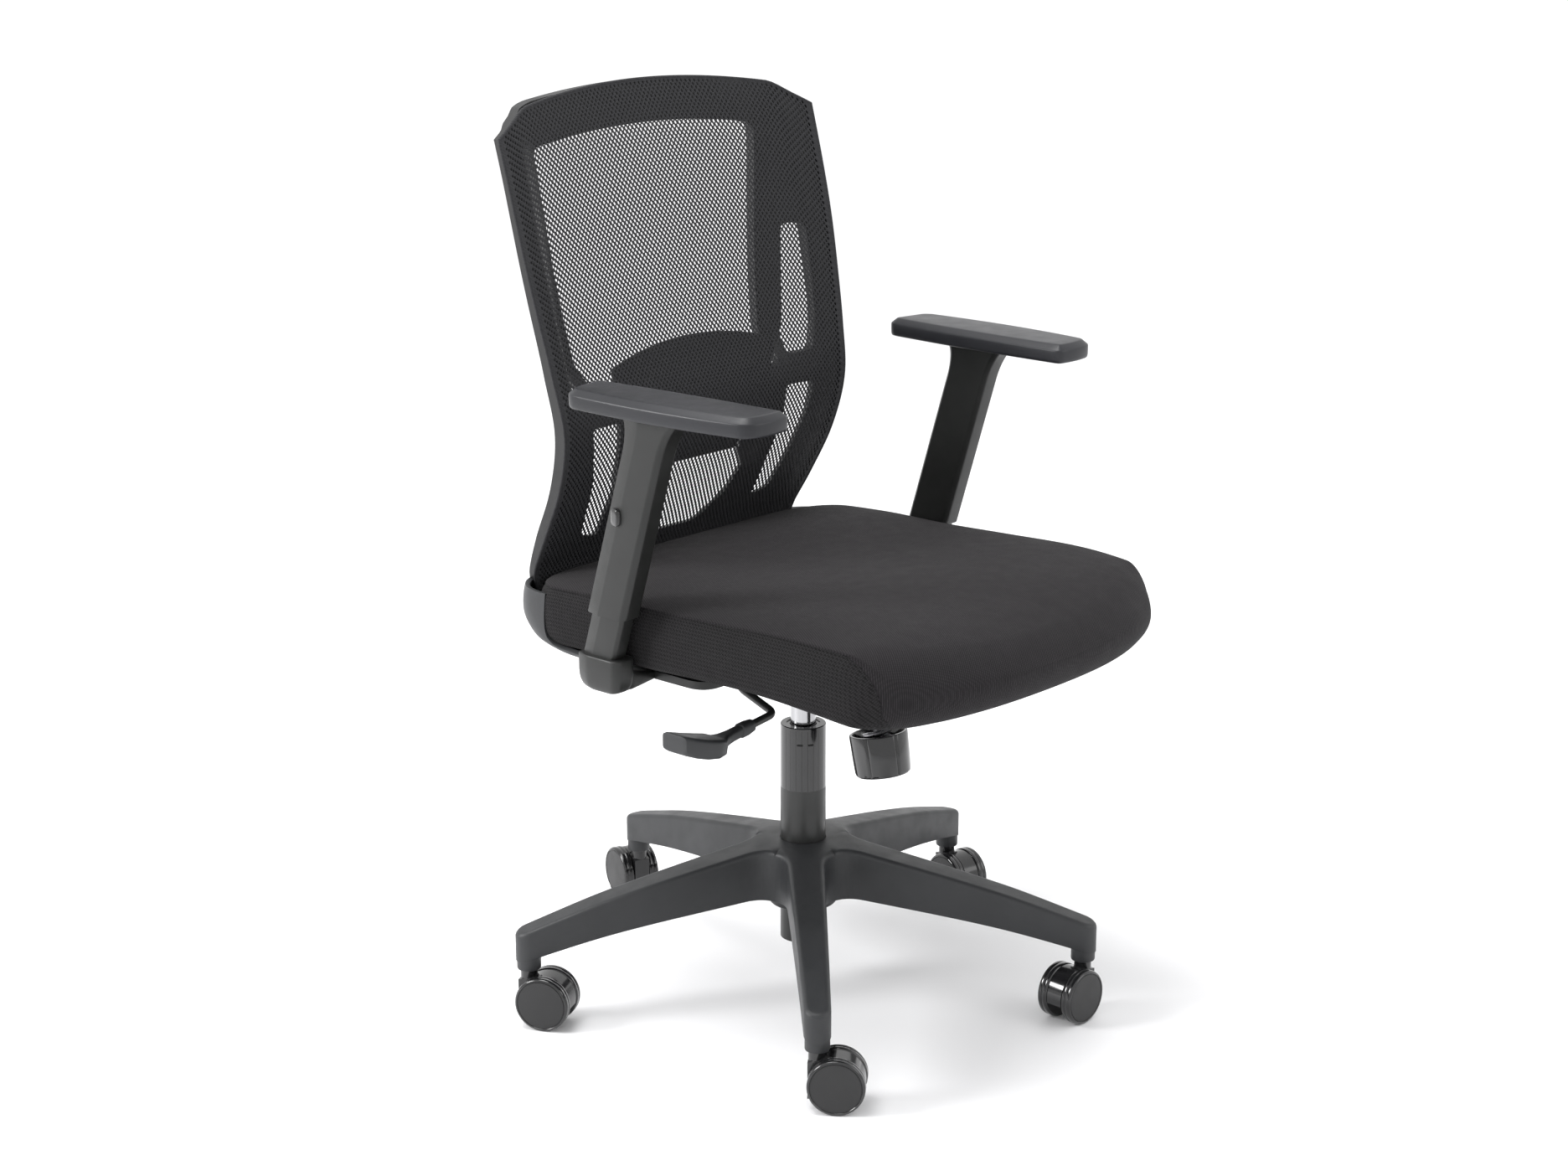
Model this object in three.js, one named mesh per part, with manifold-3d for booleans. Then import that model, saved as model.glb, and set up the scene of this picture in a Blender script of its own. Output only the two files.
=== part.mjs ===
// Swivel office chair: mesh back, upholstered seat, height-adjustable arms, gas lift and a
// five-star base on twin-wheel casters.
//
// Millimetres, +Z up. The floor is z = 0, the column stands on the Z axis, and the sitter faces -Y,
// so the sitter's right is -X. Every mesh is one separate physical piece.

import * as THREE from 'three';
import { mergeVertices } from 'three/addons/utils/BufferGeometryUtils.js';
import Module from 'manifold-3d';

const wasm = await Module();
wasm.setup();

// ---------------------------------------------------------------- driving dimensions

const GAP = 0.4;                 // air between pieces that touch or run in each other

// base and casters
const LEGS = 5;
const FIRST_LEG_DEG = -136.2;    // direction of the first leg, from +X
const STEM_CIRCLE = 315;         // column axis to caster stem
const SOCKET_R = 13;
const TIP_R = 14;                // round end of a leg in plan
const SOCKET_BOTTOM = 63;
const HUB_TOP = 173;
const HUB_R = 37;
const HUB_BOTTOM = 98;
const LEG_ROOT_HALF = 20.5;      // half-width of a leg at the hub
const LEG_FILLET = 30;           // plan radius between two legs
const LEG_SKIN = 4;              // wall of the hollow underside
const RIB_CELLS = 5;             // hollow cells under each leg
const WHEEL_R = 30;
const WHEEL_WIDTH = 12.8;
const HOOD_HALF = 9.3;           // half-width of the caster's fork between its wheels
const TRAIL = 20.5;              // stem axis to axle
const STEM_R = 5.5;
const AXLE_R = 4;
const CASTER_HEADINGS_DEG = [-54, 178, -102, 69.8, -64.6];

// gas lift
const COLUMN_R = 25;
const COLUMN_WALL = 1.8;
const COLUMN_BOTTOM = 56;
const COLUMN_TOP = 302;
const LIFT_R = 14;
const LIFT_BOTTOM = 78;
const LIFT_TOP = 358;
const ROD_R = 5;

// tilt mechanism
const HOUSING_BOTTOM = 333;
const HOUSING_TOP = 388;
const PIVOT_Y = 35;              // tilt axis, along X
const PIVOT_Z = 378;
const PIN_R = 5;
const PLATE_BOTTOM = 398;
const PLATE_TOP = 402;
const KNOB_TILT_DEG = 10;
const KNOB_BASE = new THREE.Vector3(0, -114, 272);
const KNOB_R = 32;
const KNOB_HEIGHT = 46;
const LEVER_R = 4;
const CAM_R = 7;
const LEVER_AXIS = new THREE.Vector3(0, -4, 367);

// seat
const SEAT_HALF = 242;
const SEAT_FRONT = -365;
const SEAT_REAR = 195;
const PAN_THICKNESS = 12;
const PAN_INSET = 62;            // cushion's edge to the pan's edge

// back
const BACK_BOTTOM = 486;
const BACK_TOP = 985;
const TOP_CORNER_X = 180;        // the top edge is cut off outside this
const MESH_THICKNESS = 2.5;
const FRAME_CLEARANCE = 1.3;     // air between the mesh and the frame it is stretched over
const BAR_THICKNESS = 14;
const SHELL_HALF = 241;
const SHELL_WALL = 5;

// arms
const ARM_LEAN = 0.304;          // forward run per unit of height
const ARM_FOOT_Y = 42;           // the arm's middle where it leaves its boot
const ARM_X = 260;
const BOOT_TOP = 440;
const SLEEVE_BOTTOM = 478;
const SLEEVE_TOP = 691.1;
const PAD_BOTTOM = 691.5;
const PAD_TOP = 712;

const NYLON = { color: 0x2b2c2e, roughness: 0.55, metalness: 0 };
const SATIN = { color: 0x3a3c42, roughness: 0.45, metalness: 0 };
const GLOSS = { color: 0x131314, roughness: 0.2, metalness: 0 };
const FABRIC = { color: 0x1d1c1e, roughness: 0.95, metalness: 0 };
const MESH = { color: 0x17171a, roughness: 0.9, metalness: 0 };
const STEEL = { color: 0x8a8c90, roughness: 0.35, metalness: 1 };
const CHROME = { color: 0xdcdde0, roughness: 0.08, metalness: 1 };
const PAINTED = { color: 0x1a1b1c, roughness: 0.4, metalness: 0.3 };

// ---------------------------------------------------------------- solids

const rad = THREE.MathUtils.degToRad;
const { lerp, clamp, smoothstep } = THREE.MathUtils;

// One closed mesh with shared corners and no collapsed triangles.
function closed(geometry) {
  const bare = new THREE.BufferGeometry();
  bare.setAttribute('position', geometry.getAttribute('position').clone());
  if (geometry.index) bare.setIndex(geometry.index.clone());
  const merged = mergeVertices(bare, 1e-4);
  const index = merged.index.array;
  const kept = [];
  for (let i = 0; i < index.length; i += 3) {
    const [a, b, c] = [index[i], index[i + 1], index[i + 2]];
    if (a !== b && b !== c && c !== a) kept.push(a, b, c);
  }
  merged.setIndex(kept);
  return merged;
}

function toSolid(geometry) {
  const mesh = closed(geometry);
  return new wasm.Manifold(new wasm.Mesh({
    numProp: 3,
    vertProperties: new Float32Array(mesh.getAttribute('position').array),
    triVerts: new Uint32Array(mesh.index.array),
  }));
}

function toGeometry(solid) {
  const mesh = solid.getMesh();
  const geometry = new THREE.BufferGeometry();
  geometry.setAttribute('position', new THREE.Float32BufferAttribute(mesh.vertProperties, 3));
  geometry.setIndex([...mesh.triVerts]);
  return geometry;
}

const join = (...parts) => toGeometry(parts.map(toSolid).reduce((all, next) => all.add(next)));
const common = (a, b) => toGeometry(toSolid(a).intersect(toSolid(b)));

function cut(body, ...tools) {
  return toGeometry(tools.map(toSolid).reduce((left, tool) => left.subtract(tool), toSolid(body)));
}

// A solid of revolution about Z. The profile is [radius, height] pairs, on the axis at both ends or
// closed on itself.
function turned(profile, sides = 32) {
  const points = profile.map(([r, z]) => new THREE.Vector2(r, z));
  if (profile[0][0] > 0) points.push(points[0].clone());
  return outward(closed(new THREE.LatheGeometry(points, sides).rotateX(Math.PI / 2)));
}

function bar(radius, bottom, top, sides = 24) {
  return turned([[0, bottom], [radius, bottom], [radius, top], [0, top]], sides);
}

function ring(inner, outer, bottom, top, sides = 32) {
  return turned([[inner, bottom], [outer, bottom], [outer, top], [inner, top]], sides);
}

function box(x0, x1, y0, y1, z0, z1) {
  return new THREE.BoxGeometry(x1 - x0, y1 - y0, z1 - z0)
    .translate((x0 + x1) / 2, (y0 + y1) / 2, (z0 + z1) / 2);
}

function outline(points) {
  return new THREE.Shape(points.map(([a, b]) => new THREE.Vector2(a, b)));
}

function extruded(shape, depth, curveSegments) {
  return new THREE.ExtrudeGeometry(shape, { depth, bevelEnabled: false, curveSegments });
}

// An outline in plan (XY), raised from z0 to z1.
function prismZ(shape, z0, z1, curveSegments = 8) {
  return extruded(shape, z1 - z0, curveSegments).translate(0, 0, z0);
}

// An outline in side view (YZ), from x0 to x1.
function prismX(shape, x0, x1, curveSegments = 8) {
  const turn = new THREE.Matrix4().makeBasis(
    new THREE.Vector3(0, 1, 0), new THREE.Vector3(0, 0, 1), new THREE.Vector3(1, 0, 0));
  return extruded(shape, x1 - x0, curveSegments).applyMatrix4(turn).translate(x0, 0, 0);
}

// An outline in front view (XZ), from y0 to y1.
function prismY(shape, y0, y1, curveSegments = 8) {
  return extruded(shape, y1 - y0, curveSegments).rotateX(Math.PI / 2).translate(0, y1, 0);
}

// Faces turned outward, whatever order the points came in.
function outward(geometry) {
  const p = geometry.getAttribute('position');
  const index = geometry.index.array;
  const [a, b, c] = [new THREE.Vector3(), new THREE.Vector3(), new THREE.Vector3()];
  let volume = 0;
  for (let i = 0; i < index.length; i += 3) {
    a.fromBufferAttribute(p, index[i]);
    b.fromBufferAttribute(p, index[i + 1]);
    c.fromBufferAttribute(p, index[i + 2]);
    volume += a.dot(b.cross(c));
  }
  if (volume < 0) {
    for (let i = 0; i < index.length; i += 3) [index[i], index[i + 1]] = [index[i + 1], index[i]];
  }
  return geometry;
}

function fromPoints(points, faces) {
  const geometry = new THREE.BufferGeometry().setFromPoints(points);
  geometry.setIndex(faces);
  return outward(geometry);
}

// A solid through a stack of rings with equal point counts, closed by a fan at each end.
function loft(rings) {
  const n = rings[0].length;
  const points = rings.flat();
  const faces = [];
  for (let j = 0; j < rings.length - 1; j += 1) {
    for (let i = 0; i < n; i += 1) {
      const a = j * n + i;
      const b = j * n + ((i + 1) % n);
      faces.push(a, b, b + n, a, b + n, a + n);
    }
  }
  const first = points.length;
  for (const end of [rings[0], rings.at(-1)]) {
    points.push(end.reduce((sum, p) => sum.add(p), new THREE.Vector3()).divideScalar(n));
  }
  const last = (rings.length - 1) * n;
  for (let i = 0; i < n; i += 1) {
    const next = (i + 1) % n;
    faces.push(first, next, i);
    faces.push(first + 1, last + i, last + next);
  }
  return fromPoints(points, faces);
}

// A curved board: a grid of front points and the matching grid of back points, joined at the rim.
function board(columns, rows, front, back) {
  const points = [];
  for (const face of [front, back]) {
    for (let j = 0; j <= rows; j += 1) {
      for (let i = 0; i <= columns; i += 1) points.push(face(i / columns, j / rows));
    }
  }
  const width = columns + 1;
  const size = width * (rows + 1);
  const faces = [];
  const quad = (a, b, c, d) => faces.push(a, b, c, a, c, d);
  for (let j = 0; j < rows; j += 1) {
    for (let i = 0; i < columns; i += 1) {
      const a = j * width + i;
      quad(a, a + 1, a + 1 + width, a + width);
      quad(size + a, size + a + width, size + a + 1 + width, size + a + 1);
    }
    const left = j * width;
    const right = left + columns;
    quad(left, left + width, size + left + width, size + left);
    quad(right, size + right, size + right + width, right + width);
  }
  for (let i = 0; i < columns; i += 1) {
    const top = rows * width + i;
    quad(i, size + i, size + i + 1, i + 1);
    quad(top, top + 1, size + top + 1, size + top);
  }
  return fromPoints(points, faces);
}

// A round wire or rod along a curve.
function wire(curve, radius, steps, sides) {
  const section = new THREE.Shape().absarc(0, 0, radius, 0, Math.PI * 2);
  return new THREE.ExtrudeGeometry(section, {
    steps, curveSegments: sides, extrudePath: curve, bevelEnabled: false,
  });
}

// A smooth function through [input, output] pairs, flat beyond the two ends.
function through(pairs) {
  const slope = (i) => {
    const [a, b] = [pairs[Math.max(i - 1, 0)], pairs[Math.min(i + 1, pairs.length - 1)]];
    return (b[1] - a[1]) / (b[0] - a[0]);
  };
  return (input) => {
    const x = clamp(input, pairs[0][0], pairs.at(-1)[0]);
    const i = Math.max(0, pairs.findIndex((pair) => pair[0] >= x) - 1);
    const [[x0, y0], [x1, y1]] = [pairs[i], pairs[i + 1]];
    const [h, t] = [x1 - x0, (x - x0) / (x1 - x0)];
    const [rise, fall] = [t * t * (3 - 2 * t), (1 - t) * (1 - t)];
    return lerp(y0, y1, rise) + h * (slope(i) * t * fall - slope(i + 1) * t * t * (1 - t));
  };
}

// ---------------------------------------------------------------- assembly

// Every shape below is placed about the column's axis. The frame's origin is on the floor under the
// middle of the whole chair's bounding box, which lies beside the column because one caster reaches
// further out than the rest.
const COLUMN_X = -17.3;
const chair = new THREE.Group();
chair.position.x = COLUMN_X;

function node(name, geometry, finish, parent = chair) {
  const mesh = new THREE.Mesh(closed(geometry), new THREE.MeshStandardMaterial(finish));
  mesh.name = name;
  parent.add(mesh);
  return mesh;
}

// ---------------------------------------------------------------- base

const legTop = through([[0, 173], [46, 171.5], [93, 163], [225, 134.5], [306, 112], [345, 100]]);
const legBottom = through([[0, 109], [56, 113], [93, 110], [219, 95], [303, 79.5], [345, 69]]);

function legHalfWidth(r) {
  return lerp(LEG_ROOT_HALF, TIP_R, clamp((r - 50) / (STEM_CIRCLE - 50), 0, 1));
}

// Plan of the star: five tapering legs with round tips and a fillet in each corner.
function starOutline() {
  const shape = new THREE.Shape();
  const half = Math.PI / LEGS;
  const centre = (LEG_ROOT_HALF + LEG_FILLET) / Math.sin(half);
  for (let k = 0; k < LEGS; k += 1) {
    const leg = rad(FIRST_LEG_DEG) + k * 2 * half;
    const [c, s] = [Math.cos(leg), Math.sin(leg)];
    shape.absarc(STEM_CIRCLE * c, STEM_CIRCLE * s, TIP_R, leg - Math.PI / 2, leg + Math.PI / 2);
    const corner = leg + half;
    shape.absarc(centre * Math.cos(corner), centre * Math.sin(corner), LEG_FILLET,
      leg - Math.PI / 2, corner + half + Math.PI / 2, true);
  }
  return shape;
}

// A disc whose top and bottom follow the legs' heights.
function crown(top, bottom, inner, outer, steps) {
  const radii = Array.from({ length: steps + 1 }, (_, i) => lerp(inner, outer, i / steps));
  const upper = radii.map((r) => [r, top(r)]);
  const lower = radii.map((r) => [r, bottom(r)]).reverse();
  return turned([...lower, ...upper], 40);
}

// Hollow cells under one leg, pointing along +X.
function legCells() {
  const cells = [];
  const [from, to] = [HUB_R + 14, STEM_CIRCLE - SOCKET_R - 6];
  const pitch = (to - from) / RIB_CELLS;
  for (let i = 0; i < RIB_CELLS; i += 1) {
    const [r0, r1] = [from + i * pitch, from + (i + 1) * pitch - LEG_SKIN];
    const [w0, w1] = [legHalfWidth(r0) - LEG_SKIN, legHalfWidth(r1) - LEG_SKIN];
    cells.push(prismZ(outline([[r0, -w0], [r1, -w1], [r1, w1], [r0, w0]]), HUB_BOTTOM - 60, HUB_TOP));
  }
  return join(...cells);
}

function fiveStarBase() {
  const disc = crown(legTop, legBottom, 20, STEM_CIRCLE + TIP_R + 6, 7);
  const star = common(prismZ(starOutline(), SOCKET_BOTTOM, HUB_TOP + 6, 8), disc);
  const parts = [star, bar(HUB_R, HUB_BOTTOM, legTop(HUB_R) - 1, 36)];
  const holes = [bar(COLUMN_R + GAP, 0, HUB_TOP + 20, 48)];
  const roof = crown((r) => legTop(r) - LEG_SKIN, () => 40, 30, STEM_CIRCLE, 5);
  const cells = common(legCells(), roof);
  for (let k = 0; k < LEGS; k += 1) {
    const leg = rad(FIRST_LEG_DEG + (k * 360) / LEGS);
    const [x, y] = [STEM_CIRCLE * Math.cos(leg), STEM_CIRCLE * Math.sin(leg)];
    parts.push(bar(SOCKET_R, SOCKET_BOTTOM, 104, 24).translate(x, y, 0));
    holes.push(bar(STEM_R + GAP, SOCKET_BOTTOM - 5, 96, 24).translate(x, y, 0));
    holes.push(cells.clone().rotateZ(leg));
  }
  return cut(join(...parts), ...holes);
}

node('five_star_base', fiveStarBase(), NYLON);

// ---------------------------------------------------------------- casters

// Side view of a caster's fork: a mudguard round the wheels that drops down at the stem side.
function hoodOutline() {
  const guard = WHEEL_R - 1;
  const shape = new THREE.Shape();
  shape.moveTo(-HOOD_HALF, 12);
  shape.lineTo(TRAIL + 8, 16);
  shape.lineTo(TRAIL + guard * Math.cos(rad(-12)), WHEEL_R + guard * Math.sin(rad(-12)));
  shape.absarc(TRAIL, WHEEL_R, guard, rad(-12), rad(118));
  shape.lineTo(-HOOD_HALF, WHEEL_R + 22);
  return shape;
}

function casterHood() {
  const fork = prismY(hoodOutline(), -HOOD_HALF, HOOD_HALF, 12);
  const neck = bar(HOOD_HALF, WHEEL_R, SOCKET_BOTTOM - GAP, 24);
  const axleHole = bar(AXLE_R + GAP, -40, 40, 20).rotateX(Math.PI / 2).translate(TRAIL, 0, WHEEL_R);
  const stemHole = bar(STEM_R + GAP, 40 - GAP, 80, 24);
  return cut(join(fork, neck), axleHole, stemHole);
}

// A wheel on the +Y side of its fork, with a blind bore and a slightly domed face.
function casterWheel() {
  const face = WHEEL_WIDTH;
  return turned([
    [0, face - 3], [AXLE_R + 0.25, face - 3], [AXLE_R + 0.25, 0], [WHEEL_R - 1, 0],
    [WHEEL_R, 1], [WHEEL_R, face - 2.5], [WHEEL_R - 2.5, face - 0.8], [0, face],
  ], 26).rotateX(-Math.PI / 2).translate(TRAIL, HOOD_HALF + GAP, WHEEL_R);
}

for (let k = 0; k < LEGS; k += 1) {
  const leg = rad(FIRST_LEG_DEG + (k * 360) / LEGS);
  const caster = new THREE.Group();
  caster.position.set(STEM_CIRCLE * Math.cos(leg), STEM_CIRCLE * Math.sin(leg), 0);
  caster.rotation.z = rad(CASTER_HEADINGS_DEG[k]);
  chair.add(caster);
  const tag = `caster_${k + 1}`;
  node(`${tag}_hood`, casterHood(), NYLON, caster);
  node(`${tag}_stem`, bar(STEM_R, 40, 92, 20), STEEL, caster);
  const axleHalf = HOOD_HALF + GAP + WHEEL_WIDTH - 4;
  const axle = bar(AXLE_R, -axleHalf, axleHalf, 20).rotateX(Math.PI / 2).translate(TRAIL, 0, WHEEL_R);
  node(`${tag}_axle`, axle, STEEL, caster);
  node(`${tag}_wheel_left`, casterWheel(), GLOSS, caster);
  const mirrored = casterWheel().translate(-TRAIL, 0, 0).rotateZ(Math.PI).translate(TRAIL, 0, 0);
  node(`${tag}_wheel_right`, mirrored, GLOSS, caster);
}

// ---------------------------------------------------------------- gas lift

const FLOOR_PLATE = 4;           // closed foot of the column
const BEARING_TOP = COLUMN_BOTTOM + FLOOR_PLATE + 8;
const PISTON_BOTTOM = 262;

node('column_tube', turned([
  [ROD_R + 1, COLUMN_BOTTOM], [COLUMN_R, COLUMN_BOTTOM], [COLUMN_R, COLUMN_TOP],
  [COLUMN_R - COLUMN_WALL, COLUMN_TOP], [COLUMN_R - COLUMN_WALL, COLUMN_BOTTOM + FLOOR_PLATE],
  [ROD_R + 1, COLUMN_BOTTOM + FLOOR_PLATE],
], 48), PAINTED);

node('guide_bush', turned([
  [LIFT_R + GAP, 232], [COLUMN_R - COLUMN_WALL - GAP, 232],
  [COLUMN_R - COLUMN_WALL - GAP, COLUMN_TOP + GAP], [COLUMN_R, COLUMN_TOP + GAP],
  [COLUMN_R, COLUMN_TOP + 3], [LIFT_R + GAP, COLUMN_TOP + 3],
], 48), GLOSS);

node('thrust_bearing',
  ring(ROD_R + GAP, 14, COLUMN_BOTTOM + FLOOR_PLATE + GAP, BEARING_TOP, 32), STEEL);

node('piston_rod', turned([
  [0, 49], [ROD_R, 49], [ROD_R, BEARING_TOP + GAP], [8, BEARING_TOP + GAP], [8, BEARING_TOP + 4],
  [ROD_R, BEARING_TOP + 4], [ROD_R, PISTON_BOTTOM], [11.8, PISTON_BOTTOM],
  [11.8, PISTON_BOTTOM + 8], [0, PISTON_BOTTOM + 8],
], 28), STEEL);

node('retaining_clip', ring(ROD_R + GAP, 9, 51, COLUMN_BOTTOM - GAP, 24), STEEL);

const PIN_HOLE_R = 4.4;          // valve pin's bore in the lift's head
node('pressure_tube', turned([
  [ROD_R + GAP, LIFT_BOTTOM], [LIFT_R, LIFT_BOTTOM], [LIFT_R, LIFT_TOP], [PIN_HOLE_R, LIFT_TOP],
  [PIN_HOLE_R, LIFT_TOP - 20], [LIFT_R - 1.6, LIFT_TOP - 20], [LIFT_R - 1.6, LIFT_BOTTOM + 12],
  [ROD_R + GAP, LIFT_BOTTOM + 12],
], 40), CHROME);

node('release_pin', bar(4, LIFT_TOP - 18, LEVER_AXIS.z - CAM_R - GAP, 20), STEEL);

// ---------------------------------------------------------------- tilt mechanism

// A direction in the YZ plane that leans forward going down, shared by bolt, spring and knob.
function alongKnob(geometry) {
  return geometry.rotateX(rad(-KNOB_TILT_DEG)).translate(KNOB_BASE.x, KNOB_BASE.y, KNOB_BASE.z);
}

// Side view of the pressed housing, from the pivot forward to its nose over the knob. The nose is
// square to the knob's axis, and high enough for the knob to rise as the seat tilts.
const NOSE_BOTTOM = 351;
function housingOutline(inset) {
  return outline([
    [62 - inset, HOUSING_TOP + inset], [62 - inset, 352 + inset], [46 - inset, HOUSING_BOTTOM + inset],
    [-50, HOUSING_BOTTOM + inset], [-72, NOSE_BOTTOM + inset],
    [-142 + inset, NOSE_BOTTOM + inset + (70 - inset) * Math.tan(rad(KNOB_TILT_DEG))],
    [-142 + inset, HOUSING_TOP + inset],
  ]);
}

function alongLever(geometry) {
  return geometry.rotateY(Math.PI / 2).translate(0, LEVER_AXIS.y, LEVER_AXIS.z);
}

function mechanismHousing() {
  const wall = 3;
  const half = 54;
  const pan = cut(prismX(housingOutline(0), -half, half),
    prismX(housingOutline(wall), -half + wall, half - wall));
  const boss = bar(22, HOUSING_BOTTOM - 4, LIFT_TOP - 4, 32);
  const bore = bar(LIFT_R + GAP, 300, HOUSING_TOP, 40);
  const pinHole = bar(PIN_R + GAP, -80, 80, 24).rotateY(Math.PI / 2).translate(0, PIVOT_Y, PIVOT_Z);
  const leverHole = alongLever(bar(CAM_R + GAP, -80, 0, 24));
  const boltSlot = box(-8, 8, -122, -82, 320, HOUSING_TOP + 5);
  return cut(join(pan, boss), bore, pinHole, leverHole, boltSlot);
}

node('mechanism_housing', mechanismHousing(), PAINTED);

node('pivot_pin', bar(PIN_R, -66, 66, 20).rotateY(Math.PI / 2).translate(0, PIVOT_Y, PIVOT_Z), STEEL);

const BACK_BOLT_Y = 86;
const BACK_BOLTS = { right: -50, left: 50 };
const BOLT_R = 4;

function boltHoles() {
  return Object.values(BACK_BOLTS).map((x) => bar(BOLT_R + GAP, 380, 460, 20)
    .translate(x, BACK_BOLT_Y, 0));
}

const BOLT_TOP = new THREE.Vector3(0, -91.4, PLATE_TOP);

function seatPlate() {
  const plate = box(-75, 75, -140, 112, PLATE_BOTTOM, PLATE_TOP);
  const ears = [-1, 1].map((side) => {
    const [near, far] = [side * 60.5, side * 63.5];
    return box(Math.min(near, far), Math.max(near, far), 15, 55, 366, PLATE_BOTTOM + 1);
  });
  const pinHole = bar(PIN_R + GAP, -80, 80, 24).rotateY(Math.PI / 2).translate(0, PIVOT_Y, PIVOT_Z);
  const springBoltHole = bar(6.2, 380, 420, 20).translate(BOLT_TOP.x, BOLT_TOP.y, 0);
  return cut(join(plate, ...ears), pinHole, springBoltHole, ...boltHoles());
}

node('seat_plate', seatPlate(), PAINTED);

for (const [side, x] of Object.entries(BACK_BOLTS)) {
  const bolt = turned([[0, 392], [7, 392], [7, PLATE_BOTTOM - GAP], [BOLT_R, PLATE_BOTTOM - GAP],
    [BOLT_R, 420], [0, 420]], 20).translate(x, BACK_BOLT_Y, 0);
  node(`back_bolt_${side}`, bolt, STEEL);
}

// The bolt, spring and knob are modelled upright with z = 0 at the knob's foot, then leaned.
const BOLT_LENGTH = 135;
const KNOB_FLOOR = 6;

function tensionBolt() {
  const shank = alongKnob(bar(4.8, KNOB_FLOOR + 3, BOLT_LENGTH, 20));
  const head = bar(9, PLATE_TOP + GAP, PLATE_TOP + 7, 6).translate(BOLT_TOP.x, BOLT_TOP.y, 0);
  return join(shank, head);
}

node('tension_bolt', tensionBolt(), STEEL);

function tensionSpring() {
  const [turns, radius, low, high] = [5, 16, KNOB_FLOOR + 3, 82];
  class Helix extends THREE.Curve {
    getPoint(t, target = new THREE.Vector3()) {
      const angle = t * turns * Math.PI * 2;
      return target.set(radius * Math.cos(angle), radius * Math.sin(angle), lerp(low, high, t));
    }
  }
  return alongKnob(wire(new Helix(), 2.4, turns * 12, 4));
}

node('tension_spring', tensionSpring(), STEEL);

function tensionKnob() {
  const wall = 4;
  const cup = turned([
    [0, 0], [KNOB_R - 5, 0], [KNOB_R - 2, 3], [KNOB_R, KNOB_HEIGHT], [KNOB_R - wall, KNOB_HEIGHT],
    [KNOB_R - wall - 1, KNOB_FLOOR], [0, KNOB_FLOOR],
  ], 36);
  const grooves = [0, 60, 120, 180, 240, 300].map((angle) => bar(2, 8, KNOB_HEIGHT + 1, 8)
    .translate(KNOB_R + 0.6, 0, 0).rotateZ(rad(angle + 15)));
  const seat = bar(4.8 + GAP, KNOB_FLOOR - 3, KNOB_FLOOR + 10, 20);
  return alongKnob(cut(cup, ...grooves, seat));
}

node('tension_knob', tensionKnob(), GLOSS);

// The cam turns in the housing's wall. Its heel reaches back over the release pin.
function leverCam() {
  const tube = alongLever(bar(CAM_R, -62, 14, 24));
  const heel = box(-8, 8, LEVER_AXIS.y, LEVER_AXIS.y + 8.6, LEVER_AXIS.z - CAM_R, LEVER_AXIS.z);
  return cut(join(tube, heel), alongLever(bar(LEVER_R + GAP, -80, 30, 20)));
}

node('lever_cam', leverCam(), STEEL);

// The wire lever slides in the cam along X, and cranks forward to its paddle outside.
const LEVER_BEND = 9;
const LEVER_POINTS = [
  [8, -4, 367], [-108, -4, 367], [-108, -54, 353], [-188, -48.5, 341.5],
].map((p) => new THREE.Vector3(...p));

function leverPath() {
  const path = new THREE.CurvePath();
  let from = LEVER_POINTS[0];
  for (let i = 1; i < LEVER_POINTS.length - 1; i += 1) {
    const corner = LEVER_POINTS[i];
    const into = corner.clone().sub(from).setLength(LEVER_BEND);
    const out = LEVER_POINTS[i + 1].clone().sub(corner).setLength(LEVER_BEND);
    const [start, end] = [corner.clone().sub(into), corner.clone().add(out)];
    path.add(new THREE.LineCurve3(from, start));
    path.add(new THREE.QuadraticBezierCurve3(start, corner, end));
    from = end;
  }
  path.add(new THREE.LineCurve3(from, LEVER_POINTS.at(-1)));
  return path;
}

node('lever_rod', wire(leverPath(), LEVER_R, 34, 6), PAINTED);

// A sleeve on the lever's end that spreads into a flat, curved paddle.
function leverPaddle() {
  const start = new THREE.Vector3(-146, -51.4, 347.5);
  const end = LEVER_POINTS.at(-1);
  const along = end.clone().sub(start).normalize();
  const turn = new THREE.Quaternion().setFromUnitVectors(new THREE.Vector3(0, 0, 1), along);
  const sleeve = bar(7, 0, 46, 16).applyQuaternion(turn).translate(start.x, start.y, start.z);
  const rings = [[-188, -50, 341, 8, 7], [-200, -54, 340, 16, 9], [-222, -54, 344, 21, 11],
    [-242, -48, 354, 19, 11], [-252, -44, 360, 13, 8]].map(([x, y, z, wide, deep]) => {
    const points = [];
    for (let i = 0; i < 12; i += 1) {
      const a = (i / 12) * Math.PI * 2;
      points.push(new THREE.Vector3(x, y + wide * Math.cos(a), z + deep * Math.sin(a)));
    }
    return points;
  });
  const bore = bar(LEVER_R + GAP, -5, start.distanceTo(end) + GAP, 20).applyQuaternion(turn)
    .translate(start.x, start.y, start.z);
  return cut(join(sleeve, loft(rings)), bore);
}

node('lever_paddle', leverPaddle(), NYLON);

// ---------------------------------------------------------------- seat

const seatUnderside = through([[SEAT_FRONT, 429], [-294, 425], [-120, 426], [15, 420],
  [90, 420], [150, 421], [SEAT_REAR, 438]]);
const seatEdgeTop = through([[SEAT_FRONT, 446], [-345, 456], [-300, 473], [-262, 484], [-185, 490],
  [-90, 487], [0, 484], [76, 484], [SEAT_REAR, 478]]);

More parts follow.
